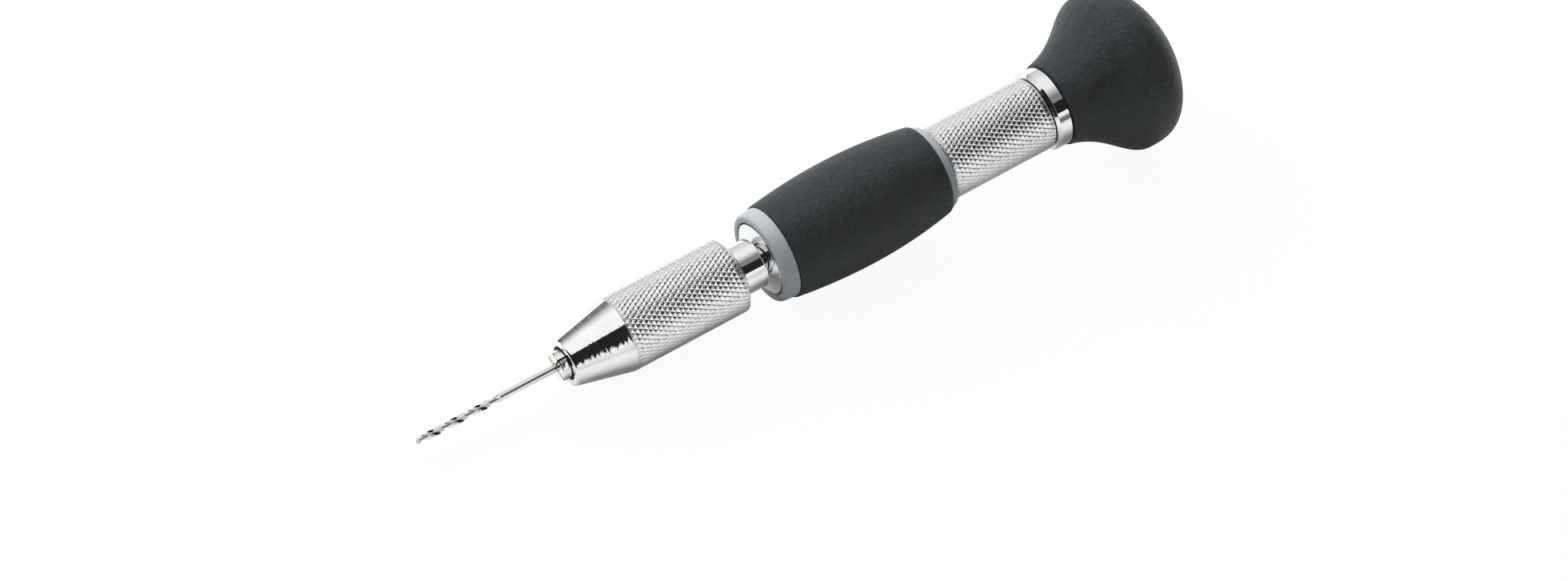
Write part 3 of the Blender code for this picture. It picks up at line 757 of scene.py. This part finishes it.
def fluted_steel(name):
    """Bright ground steel on the drill's lands and shank, with painted shade in its flutes."""
    material, tree, shader, place = new_material(name)
    handled = use(tree, handling, Place=place)
    height = use(tree, axis_distance, Place=place)["Radius"]
    # painted shade in the flutes, deepest at the web
    flute_shade = map_range(tree, height, DRILL_WEB / 2.0, FLUTE_TOP * DRILL_RADIUS, 1.0, 0.0)
    ground = blend_colours(tree, handled["Smudge"], DRILL_STEEL, COLLET_STEEL)
    colour = blend_colours(tree, flute_shade, ground, FLUTE_SHADE_STEEL)
    turned = use(tree, turning_marks, Place=place, Pitch=MARK_PITCH)
    rough = map_range(tree, turned["Height"], *NOISE_SPREAD, *DRILL_ROUGHNESS)
    feed(tree, shader, colour, rough, bump(tree, turned["Height"], FINE_MARKS))
    shader.inputs["Metallic"].default_value = 1.0
    return material


def moulded_plastic(name, colour):
    """Hard plastic with a fine moulded grain."""
    material, tree, shader, place = new_material(name)
    grain = use(tree, moulded_grain, Place=place, Size=PLASTIC_GRAIN)
    handled = use(tree, handling, Place=place)
    mottled = blend_colours(tree, grain["Mottle"], darkened(colour, PLASTIC_MOTTLE), colour)
    rough = map_range(tree, handled["Smudge"], 0.0, 1.0, *PLASTIC_ROUGHNESS)
    feed(tree, shader, mottled, rough, bump(tree, grain["Height"], PLASTIC_GRAIN_DEPTH))
    return material


def soft_rubber(name):
    """Black soft-touch rubber with a pebbled skin and a dusty sheen."""
    material, tree, shader, place = new_material(name)
    grain = use(tree, moulded_grain, Place=place, Size=RUBBER_GRAIN)
    handled = use(tree, handling, Place=place)
    worn = math_node(tree, "MULTIPLY", handled["Smudge"], RUBBER_POLISH)
    on_top = map_range(tree, grain["Height"], *PEBBLE_HEIGHTS, *PEBBLE_DUST)
    dusty = math_node(tree, "MULTIPLY", grain["Mottle"], on_top)
    colour = blend_colours(tree, dusty, RUBBER_BLACK, RUBBER_DUSTY)
    rough = map_range(tree, grain["Mottle"], 0.0, 1.0, *RUBBER_ROUGHNESS)
    rubbed = math_node(tree, "SUBTRACT", rough, worn)
    feed(tree, shader, colour, rubbed, bump(tree, grain["Height"], RUBBER_GRAIN_DEPTH))
    shader.inputs["Specular Tint"].default_value = RUBBER_SHEEN
    shader.inputs["Specular IOR Level"].default_value = RUBBER_GLOSS
    shader.inputs["Sheen Weight"].default_value = RUBBER_BLOOM
    shader.inputs["Sheen Roughness"].default_value = RUBBER_BLOOM_ROUGHNESS
    shader.inputs["Sheen Tint"].default_value = RUBBER_SHEEN
    return material


turning_marks = make_turning_marks()
handling = make_handling()
moulded_grain = make_moulded_grain()
axis_distance = make_axis_distance()


# Pieces

def stand_in(piece, body, node):
    """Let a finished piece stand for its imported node."""
    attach(piece, body)
    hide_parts(node)


def is_nut_inside(face):
    """True for a face of the nut's bore."""
    bore = NUT_NOSE_RADIUS if face.center.x > NUT_FRONT + NUT_SHOULDER else NUT_MOUTH_RADIUS
    return off_axis(face.center) < bore and face.center.x > NUT_FRONT


def make_chuck_nut():
    """The nut: a polished cone, a knurled grip and a bevelled tail, with its bores."""
    knurl_front = NUT_FRONT + NUT_CONE_LENGTH
    knurl_rear = NUT_REAR - NUT_TAIL_BEVEL
    pit = NUT_RADIUS - KNURL_DEPTH
    skirt = NUT_REAR - NUT_SKIRT
    skirt_radius = SHAFT_RADIUS + RUN_GAP
    outline = rounded([
        (knurl_front, pit, 0.0),
        (knurl_front, NUT_RADIUS, CONE_EDGE),
        (NUT_FRONT, NUT_NOSE_RADIUS, NUT_NOSE_ROUND),
        (NUT_FRONT, NUT_MOUTH_RADIUS, NUT_MOUTH_EDGE),
        (NUT_FRONT + NUT_SEAT_FRONT, COLLET_NOSE_RADIUS + RUN_GAP, 0.0),
        (NUT_FRONT + NUT_SEAT_FRONT + COLLET_TAPER_LENGTH, COLLET_BODY_RADIUS + RUN_GAP, 0.0),
        (NUT_FRONT + NUT_SHOULDER, COLLET_BODY_RADIUS + RUN_GAP, 0.0),
        (NUT_FRONT + NUT_SHOULDER, NUT_THREAD_RADIUS, 0.0),
        (skirt, NUT_THREAD_RADIUS, 0.0),
        (skirt, skirt_radius, 0.0),
        (NUT_REAR, skirt_radius, NUT_MOUTH_EDGE),
        (NUT_REAR, NUT_TAIL_FACE_RADIUS, NUT_TAIL_ROUND),
        (knurl_rear, pit, 0.0),
    ])
    nut = lathe("chuck_nut_turned", outline, closed=False)
    nut.data.materials.append(polished_chrome("nut polished chrome", DEEP_MARKS))
    # The bore gets near-black steel: painted shade inside the nut
    nut.data.materials.append(ground_steel("nut bore painted shade", PAINTED_SHADE_STEEL, BORE_ROUGHNESS, FINE_MARKS))
    give_material(nut, 1, is_nut_inside)
    band = knurled_band("chuck_nut_knurl", knurl_front, knurl_rear, NUT_RADIUS, NUT_KNURL_COUNT)
    band.data.materials.append(knurled_chrome("nut knurled chrome", NUT_RADIUS))
    join([nut, band])
    bridge_rings(nut, knurl_front)
    bridge_rings(nut, knurl_rear)
    stand_in(nut, "chuck_nut", "chuck_nut")


def is_sawn(face):
    """True for a face that lies along the tool axis and doesn't look straight away from it."""
    outwards = Vector((0.0, face.center.y, face.center.z - AXIS_HEIGHT)).normalized()
    return abs(face.normal.x) < SAWN_LEAN and abs(face.normal.dot(outwards)) < SAWN_OUTWARDS


def make_collet():
    """The collet, with a taper and two crossed slits at each end."""
    front, rear = span("collet")
    taper = COLLET_NOSE_LENGTH + COLLET_TAPER_LENGTH
    outline = rounded([
        (front, COLLET_BORE, COLLET_EDGE),
        (front, COLLET_NOSE_RADIUS, COLLET_NOSE_ROUND),
        (front + COLLET_NOSE_LENGTH, COLLET_NOSE_RADIUS, 0.0),
        (front + taper, COLLET_BODY_RADIUS, 0.0),
        (rear - taper, COLLET_BODY_RADIUS, 0.0),
        (rear - COLLET_NOSE_LENGTH, COLLET_NOSE_RADIUS, 0.0),
        (rear, COLLET_NOSE_RADIUS, COLLET_EDGE),
        (rear, COLLET_RELIEF_BORE, COLLET_EDGE),
        (front + COLLET_GRIP_LENGTH, COLLET_RELIEF_BORE, 0.0),
        (front + COLLET_GRIP_LENGTH, COLLET_BORE, 0.0),
    ])
    collet = lathe("collet_turned", outline)
    step = math.pi / COLLET_SLITS
    for slit in range(COLLET_SLITS):
        clock = COLLET_CLOCK + slit * step
        cut_slit(collet, COLLET_SLIT_WIDTH, COLLET_SLIT_DEPTH, front, clock)
        cut_slit(collet, COLLET_SLIT_WIDTH, COLLET_SLIT_DEPTH, rear, clock + step / 2.0)
    smooth(collet)
    turned = ground_steel("collet turned steel", COLLET_STEEL, COLLET_ROUGHNESS, FINE_MARKS)
    # The slits' faces get near-black steel: painted shade in the slits
    sawn = ground_steel("collet slits painted shade", PAINTED_SHADE_STEEL, SAWN_ROUGHNESS, FINE_MARKS)
    collet.data.materials.append(turned)
    collet.data.materials.append(sawn)
    give_material(collet, 1, is_sawn)
    stand_in(collet, "collet", "collet")


def hollow_flutes(drill):
    """Press two hollow flutes into the round section of the drill."""
    bottom = DRILL_WEB / 2.0
    corner = DRILL_RADIUS * math.cos(FLUTE_HALF_WIDTH)
    hollow_centre = (DRILL_RADIUS ** 2 - bottom ** 2) / (corner - bottom) / 2.0
    for vert in drill.data.vertices:
        turn = abs(math.atan2(vert.co.y, vert.co.x))
        turn = min(turn, math.pi - turn)
        if turn < FLUTE_HALF_WIDTH:
            chord = math.sqrt((hollow_centre - bottom) ** 2 - (hollow_centre * math.sin(turn)) ** 2)
            vert.co *= (hollow_centre * math.cos(turn) - chord) / DRILL_RADIUS


def twist_flutes(drill):
    """Draw the section out into twisted flutes, with a pointed front and a run-out at the shank."""
    slope = math.tan(DRILL_POINT_ANGLE / 2.0)
    twist = drill.modifiers.new("twist", "SCREW")
    twist.axis = "Z"
    twist.angle = 2.0 * math.pi * FLUTE_LENGTH / FLUTE_LEAD
    twist.screw_offset = FLUTE_LENGTH
    twist.steps = FLUTE_STEPS
    twist.render_steps = FLUTE_STEPS
    twist.use_merge_vertices = False
    apply_modifiers(drill)
    for vert in drill.data.vertices:
        height = vert.co.z
        radius = math.hypot(vert.co.x, vert.co.y)
        angle = math.atan2(vert.co.y, vert.co.x)
        fade = min(1.0, max(0.0, (FLUTE_LENGTH - height) / FLUTE_RUNOUT))
        radius = DRILL_RADIUS - (DRILL_RADIUS - radius) * fade
        pushed = radius / slope * (1.0 - height / FLUTE_LENGTH)
        angle += FLUTE_CLOCK + 2.0 * math.pi * pushed / FLUTE_LEAD
        vert.co = (radius * math.cos(angle), radius * math.sin(angle), height + pushed)


def close_ends(drill, tip, end):
    """Add the shank with its chamfered end, and close the drill's point."""
    edit(drill)
    flute_end = tip + FLUTE_LENGTH - RIM_REACH
    select_where(drill, "vertices", lambda vert: vert.co.x > flute_end)
    shank = end - DRILL_END_CHAMFER - tip - FLUTE_LENGTH
    for length in (SHADE_STRIP, shank - 2.0 * SHADE_STRIP, SHADE_STRIP, DRILL_END_CHAMFER):
        bpy.ops.mesh.extrude_region_move(TRANSFORM_OT_translate={"value": (length, 0.0, 0.0)})
    shrink = 1.0 - DRILL_END_CHAMFER / DRILL_RADIUS
    bpy.ops.transform.resize(value=(1.0, shrink, shrink), center_override=(end, 0.0, AXIS_HEIGHT))
    bpy.ops.mesh.edge_face_add()
    select_open_rims()
    bpy.ops.mesh.extrude_region_move(TRANSFORM_OT_translate={"value": (0.0, 0.0, 0.0)})
    bpy.ops.transform.resize(value=(0.0, 0.0, 0.0), center_override=(tip, 0.0, AXIS_HEIGHT))
    bpy.ops.mesh.remove_doubles(threshold=WELD)
    bpy.ops.mesh.select_all(action="SELECT")
    bpy.ops.mesh.normals_make_consistent(inside=False)
    smooth(drill)


def make_drill_bit():
    """The drill, from a round section that gets its flutes, its shank and its point."""
    tip, end = span("drill_bit")
    tip -= DRILL_REACH
    start_clean()
    bpy.ops.mesh.primitive_circle_add(vertices=DRILL_SEGMENTS, radius=DRILL_RADIUS)
    drill = bpy.context.object
    drill.name = "drill_bit_fluted"
    hollow_flutes(drill)
    twist_flutes(drill)
    drill.rotation_euler = (0.0, math.radians(90.0), 0.0)
    drill.location = (tip, 0.0, AXIS_HEIGHT)
    bpy.ops.object.transform_apply(location=True, rotation=True, scale=True)
    close_ends(drill, tip, end)
    drill.data.materials.append(fluted_steel("drill ground steel"))
    stand_in(drill, "drill", "drill_bit")


def make_spindle():
    """The spindle: its end in the nut, the shaft, the flange and the tail in the barrel."""
    front, rear = span("spindle")
    flange_back = rear - TAIL_LENGTH
    rim_front = flange_back - FLANGE_RIM - FLANGE_REACH
    root = rim_front - FLANGE_CONE
    shaft_front = NUT_REAR - SHAFT_COVERED
    outline = rounded([
        (front, SPINDLE_MOUTH_RADIUS, 0.0),
        (front, THREAD_RADIUS, RUN_GAP),
        (shaft_front, THREAD_RADIUS, 0.0),
        (shaft_front, SHAFT_RADIUS, RUN_GAP),
        (root, SHAFT_RADIUS, SHAFT_ROOT_ROUND),
        (rim_front, FLANGE_RADIUS, FLANGE_EDGE),
        (flange_back, FLANGE_RADIUS, FLANGE_EDGE),
        (flange_back, TAIL_RADIUS, 0.0),
        (rear, TAIL_RADIUS, RUN_GAP),
        (rear, COLLET_RELIEF_BORE, 0.0),
        (front + SPINDLE_POCKET, COLLET_RELIEF_BORE, 0.0),
        (front + SPINDLE_POCKET, COLLET_NOSE_RADIUS + RUN_GAP, 0.0),
        (front + SPINDLE_SEAT, COLLET_NOSE_RADIUS + RUN_GAP, 0.0),
    ])
    spindle = lathe("spindle_turned", outline)
    spindle.data.materials.append(polished_chrome("spindle polished chrome", FINE_MARKS))
    stand_in(spindle, "handle", "spindle")


def make_grip_core():
    """The grip's hard liner, whose two ends show as rings."""
    front, rear = span("grip_core")
    sleeve_front = front + FRONT_RING_LENGTH
    front += FRONT_RING_BACK
    sleeve_rear = rear - REAR_RING_LENGTH
    rear -= REAR_RING_SHORT
    mouth_end = front + CORE_MOUTH_DEPTH
    outline = rounded([
        (front, CORE_MOUTH, FRONT_RING_LIP),
        (front, FRONT_RING_NOSE_RADIUS, FRONT_RING_ROUND),
        (sleeve_front, FRONT_RING_RADIUS, RING_EDGE),
        (sleeve_front, CORE_WAIST, 0.0),
        (sleeve_rear, CORE_WAIST, 0.0),
        (sleeve_rear, REAR_RING_RADIUS, RING_EDGE),
        (rear, REAR_RING_END_RADIUS, REAR_RING_ROUND),
        (rear, CORE_BORE, RING_EDGE),
        (mouth_end, CORE_BORE, 0.0),
        (mouth_end, CORE_MOUTH, 0.0),
    ])
    core = lathe("grip_core_moulded", outline)
    core.data.materials.append(moulded_plastic("grip grey plastic", CORE_GREY))
    stand_in(core, "handle", "grip_core")


def make_grip_sleeve():
    """The grip's soft crowned sleeve."""
    front, rear = span("grip_sleeve")
    front -= SLEEVE_REACH
    rear += SLEEVE_REACH
    crest = (front + SLEEVE_CREST_AT, outer_radius("grip_sleeve"))
    front_half = rise((front, SLEEVE_FRONT_RADIUS), crest)
    rear_half = rise((rear, SLEEVE_REAR_RADIUS), crest)
    inside = [Vector((rear, SLEEVE_BORE)), Vector((front, SLEEVE_BORE))]
    sleeve = lathe("grip_sleeve_moulded", front_half + rear_half[-2::-1] + inside)
    soften_rim(sleeve, front, SLEEVE_FRONT_RADIUS, SLEEVE_EDGE)
    soften_rim(sleeve, rear, SLEEVE_REAR_RADIUS, SLEEVE_EDGE)
    sleeve.data.materials.append(soft_rubber("sleeve soft rubber"))
    stand_in(sleeve, "handle", "grip_sleeve")


def make_barrel():
    """The knurled barrel, with a thinner front under the grip."""
    front, rear = span("barrel")
    rear += BARREL_REACH
    radius = outer_radius("barrel")
    pit = radius - KNURL_DEPTH
    shoulder = rear - BARREL_REACH - BARREL_SHOWING - REAR_RING_SHORT
    knurl_front = shoulder + BARREL_LIP
    knurl_rear = rear - BARREL_LIP
    outline = rounded([
        (knurl_front, pit, 0.0),
        (shoulder, pit - BARREL_LIP, 0.0),
        (shoulder, BARREL_SEAT_RADIUS, 0.0),
        (front, BARREL_SEAT_RADIUS, RUN_GAP),
        (front, BARREL_BORE, 0.0),
        (rear, BARREL_BORE, 0.0),
        (rear, pit - BARREL_LIP, 0.0),
        (knurl_rear, pit, 0.0),
    ])
    barrel = lathe("barrel_turned", outline, closed=False)
    barrel.data.materials.append(polished_chrome("barrel polished chrome", FINE_MARKS))
    band = knurled_band("barrel_knurl", knurl_front, knurl_rear, radius, BARREL_KNURL_COUNT)
    band.data.materials.append(knurled_chrome("barrel knurled chrome", radius))
    join([barrel, band])
    bridge_rings(barrel, knurl_front)
    bridge_rings(barrel, knurl_rear)
    stand_in(barrel, "handle", "barrel")


def make_rear_collar():
    """The polished collar behind the barrel, with a stub inside it."""
    front, rear = span("rear_collar")
    radius = outer_radius("rear_collar")
    band_front = front + COLLAR_STUB_LENGTH
    outline = rounded([
        (front, COLLAR_BORE, 0.0),
        (front, COLLAR_STUB_RADIUS, COLLAR_EDGE),
        (band_front, COLLAR_STUB_RADIUS, 0.0),
        (band_front, radius - COLLAR_BEVEL_DEPTH, COLLAR_EDGE),
        (band_front + COLLAR_BEVEL_LENGTH, radius, COLLAR_EDGE),
        (rear, radius, COLLAR_EDGE),
        (rear, COLLAR_BORE, 0.0),
    ])
    collar = lathe("rear_collar_turned", outline)
    collar.data.materials.append(polished_chrome("collar polished chrome", FINE_MARKS))
    stand_in(collar, "handle", "rear_collar")


def make_knob_cover():
    """The knob's soft cover, hollow for its hard core."""
    front, rear = span("knob_cover")
    radius = outer_radius("knob_cover")
    crest = front + KNOB_CREST_AT
    neck = bezier(
        (front, KNOB_NECK_RADIUS),
        (front + KNOB_NECK_PULL, KNOB_NECK_RADIUS + KNOB_NECK_RISE),
        (crest - KNOB_CREST_PULL, radius),
        (crest, radius),
    )
    rim = bezier(
        (crest, radius),
        (crest + KNOB_RIM_PULL, radius),
        (crest + KNOB_RIM_LENGTH, radius),
        (rear, KNOB_END_RADIUS),
    )
    inside = [
        Vector((front + KNOB_HEAD_REAR, 0.0)),
        Vector((front + KNOB_HEAD_REAR, KNOB_HEAD_BORE)),
        Vector((front + KNOB_HEAD_FRONT, KNOB_HEAD_BORE)),
        Vector((front + KNOB_HEAD_FRONT, KNOB_STEM_BORE)),
        Vector((front, KNOB_STEM_BORE)),
    ]
    cover = lathe("knob_cover_moulded", inside + neck + rim[1:] + [Vector((rear, 0.0))], closed=False)
    soften_rim(cover, front, KNOB_NECK_RADIUS, KNOB_LIP)
    cover.data.materials.append(soft_rubber("knob soft rubber"))
    stand_in(cover, "knob", "knob_cover")


def finish_hidden_pieces():
    """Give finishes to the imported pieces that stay: the screw, its washer and the knob's core."""
    finishes = {
        "swivel_screw": ground_steel("screw zinc plating", ZINC, ZINC_ROUGHNESS, FINE_MARKS),
        "thrust_washer": moulded_plastic("washer white nylon", WASHER_WHITE),
        "knob_core": moulded_plastic("knob hard core", KNOB_CORE_GREY),
    }
    for name, material in finishes.items():
        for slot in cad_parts[name].material_slots:
            slot.material = material


# Stage

def make_floor():
    """A pale floor under the two places where the tool touches it."""
    nut_touch = Vector((NUT_FRONT + NUT_CONE_LENGTH, AXIS_HEIGHT - NUT_RADIUS))
    knob_crest = span("knob_cover")[0] + KNOB_CREST_AT
    knob_touch = Vector((knob_crest, AXIS_HEIGHT - outer_radius("knob_cover")))
    tilt = knob_touch - nut_touch
    middle = (nut_touch + knob_touch) / 2.0
    start_clean()
    bpy.ops.mesh.primitive_plane_add(size=FLOOR_SIZE, location=(middle.x, 0.0, middle.y - FLOOR_GAP))
    floor = bpy.context.object
    floor.name = "floor"
    floor.rotation_euler = (0.0, -math.atan2(tilt.y, tilt.x), 0.0)
    material, tree, shader, place = new_material("floor_paper")
    tone = blend_colours(tree, noise(tree, place, FLOOR_FIBRES, 3.0), FLOOR_WHITE, FLOOR_PALE)
    tree.links.new(tone, shader.inputs["Base Color"])
    shader.inputs["Roughness"].default_value = FLOOR_ROUGHNESS
    shader.inputs["Specular IOR Level"].default_value = 0.0
    rays = add(tree, "ShaderNodeLightPath").outputs
    mirrored = math_node(tree, "ADD", rays["Is Glossy Ray"], rays["Is Transmission Ray"])
    in_metal = math_node(tree, "MULTIPLY", mirrored, FLOOR_GLOW_IN_METAL)
    in_camera = math_node(tree, "MULTIPLY", rays["Is Camera Ray"], FLOOR_GLOW)
    share = math_node(tree, "ADD", in_metal, in_camera)
    white = add(tree, "ShaderNodeEmission", {"Color": WHITE, "Strength": 1.0})
    seen = add(tree, "ShaderNodeMixShader", {0: share, 1: shader.outputs[0], 2: white.outputs[0]})
    tree.links.new(seen.outputs[0], tree.nodes["Material Output"].inputs["Surface"])
    floor.data.materials.append(material)


def grey_ramp(tree, value, levels):
    """Greys blended along a value. Each level is (value, brightness)."""
    ramp = add(tree, "ShaderNodeValToRGB", {"Fac": value})
    stops = ramp.color_ramp.elements
    while len(stops) < len(levels):
        stops.new(1.0)
    for stop, (position, level) in zip(stops, levels):
        stop.position = position
        stop.color = (level, level, level, 1.0)
    return ramp.outputs["Color"]


def drawn_curve(tree, value, points):
    """A value read off straight lines between (value, result) points."""
    node = add(tree, "ShaderNodeFloatCurve", {"Value": value})
    line = node.mapping.curves[0].points
    while len(line) < len(points):
        line.new(0.5, 0.5)
    for made, point in zip(line, points):
        made.location = point
        made.handle_type = "VECTOR"
    node.mapping.update()
    return node.outputs["Value"]


def mirrored_walls(tree, along, angle):
    """What bright metal sees: white walls with dark openings on the camera's side."""
    before = map_range(tree, along, *FRONT_WALL_START, 1.0, 0.0)
    after = map_range(tree, along, *FRONT_WALL_END, 0.0, 1.0)
    sideways = math_node(tree, "MAXIMUM", before, after)
    front_wall = grey_ramp(tree, angle, FRONT_WALL)
    wall = blend_colours(tree, sideways, front_wall, grey_ramp(tree, angle, SIDE_WALL))
    over_top = math_node(tree, "SUBTRACT", angle, drawn_curve(tree, along, OPENING_TOP))
    over_bottom = math_node(tree, "SUBTRACT", angle, drawn_curve(tree, along, OPENING_BOTTOM))
    under_top = map_range(tree, over_top, -OPENING_EDGE, OPENING_EDGE, 1.0, 0.0)
    above_bottom = map_range(tree, over_bottom, -OPENING_EDGE, OPENING_EDGE, 0.0, 1.0)
    inside = math_node(tree, "MULTIPLY", under_top, above_bottom)
    reach = drawn_curve(tree, along, SHADE_REACH)
    lit = map_range(tree, math_node(tree, "DIVIDE", over_top, reach), *SHADE_FADE, WALL_SHADE, 1.0)
    below = map_range(tree, over_bottom, 0.0, SHADE_UNDER, 1.0, 0.0)
    off_horizon = math_node(tree, "ABSOLUTE", math_node(tree, "SUBTRACT", angle, HORIZON_ANGLE))
    line = map_range(tree, off_horizon, *HORIZON_FADE, 1.0, 0.0)
    depth = map_range(tree, along, *HORIZON_PLACES, *HORIZON_DEPTH)
    beside_line = math_node(tree, "SUBTRACT", 1.0, math_node(tree, "MULTIPLY", line, depth))
    level = math_node(tree, "MULTIPLY", math_node(tree, "MAXIMUM", lit, below), beside_line)
    wall = blend_colours(tree, level, BLACK, wall)
    dark = (OPENING_SHADE, OPENING_SHADE, OPENING_SHADE, 1.0)
    return blend_colours(tree, inside, wall, dark)


def make_studio():
    """The world: soft light for dull surfaces, walls for bright metal and plain white for the camera."""
    world = bpy.data.worlds.new("studio")
    bpy.context.scene.world = world
    world.use_nodes = True
    tree = world.node_tree
    tree.nodes.clear()
    way = add(tree, "ShaderNodeTexCoord").outputs["Generated"]
    axes = add(tree, "ShaderNodeSeparateXYZ", {"Vector": way}).outputs
    along = map_range(tree, axes["X"], -1.0, 1.0, 0.0, 1.0)
    towards_camera = math_node(tree, "MULTIPLY", axes["Y"], -1.0)
    angle = math_node(tree, "DIVIDE", math_node(tree, "ARCTAN2", axes["Z"], towards_camera), math.pi)
    rays = add(tree, "ShaderNodeLightPath").outputs
    mirrored = math_node(tree, "ADD", rays["Is Glossy Ray"], rays["Is Transmission Ray"])
    dimmed = map_range(tree, along, *AMBIENT_FADE, 1.0, AMBIENT_BEHIND)
    ambient = blend_colours(tree, dimmed, BLACK, grey_ramp(tree, angle, AMBIENT))
    seen = blend_colours(tree, mirrored, ambient, mirrored_walls(tree, along, angle))
    seen = blend_colours(tree, rays["Is Camera Ray"], seen, WHITE)
    light = add(tree, "ShaderNodeBackground", {"Color": seen, "Strength": 1.0})
    add(tree, "ShaderNodeOutputWorld", {"Surface": light.outputs[0]})


def make_softbox():
    """A wide lamp over the far side, which the metal doesn't mirror."""
    start_clean()
    bpy.ops.object.light_add(type="AREA", location=SOFTBOX_PLACE)
    softbox = bpy.context.object
    softbox.name = "softbox"
    softbox.data.shape = "RECTANGLE"
    softbox.data.size, softbox.data.size_y = SOFTBOX_SIZE
    softbox.data.energy = SOFTBOX_POWER
    softbox.visible_glossy = False
    softbox.rotation_euler = SOFTBOX_PLACE.to_track_quat("Z", "Y").to_euler()


def make_camera():
    """The camera, turned towards its aim and rolled a little."""
    back = Vector((
        math.sin(CAMERA_AZIMUTH) * math.cos(CAMERA_ELEVATION),
        -math.cos(CAMERA_AZIMUTH) * math.cos(CAMERA_ELEVATION),
        math.sin(CAMERA_ELEVATION),
    ))
    start_clean()
    bpy.ops.object.camera_add(location=CAMERA_AIM + back * CAMERA_DISTANCE)
    camera = bpy.context.object
    roll = Quaternion((0.0, 0.0, 1.0), CAMERA_ROLL)
    camera.rotation_euler = (back.to_track_quat("Z", "Y") @ roll).to_euler()
    camera.data.lens = CAMERA_LENS
    camera.data.sensor_width = CAMERA_SENSOR
    camera.data.clip_start = CAMERA_CLEAR
    bpy.context.scene.camera = camera


make_drill_bit()
make_collet()
make_chuck_nut()
make_spindle()
make_grip_core()
make_grip_sleeve()
make_barrel()
make_rear_collar()
make_knob_cover()
finish_hidden_pieces()
make_floor()
make_studio()
make_softbox()
make_camera()
bpy.context.scene.view_settings.view_transform = "Standard"
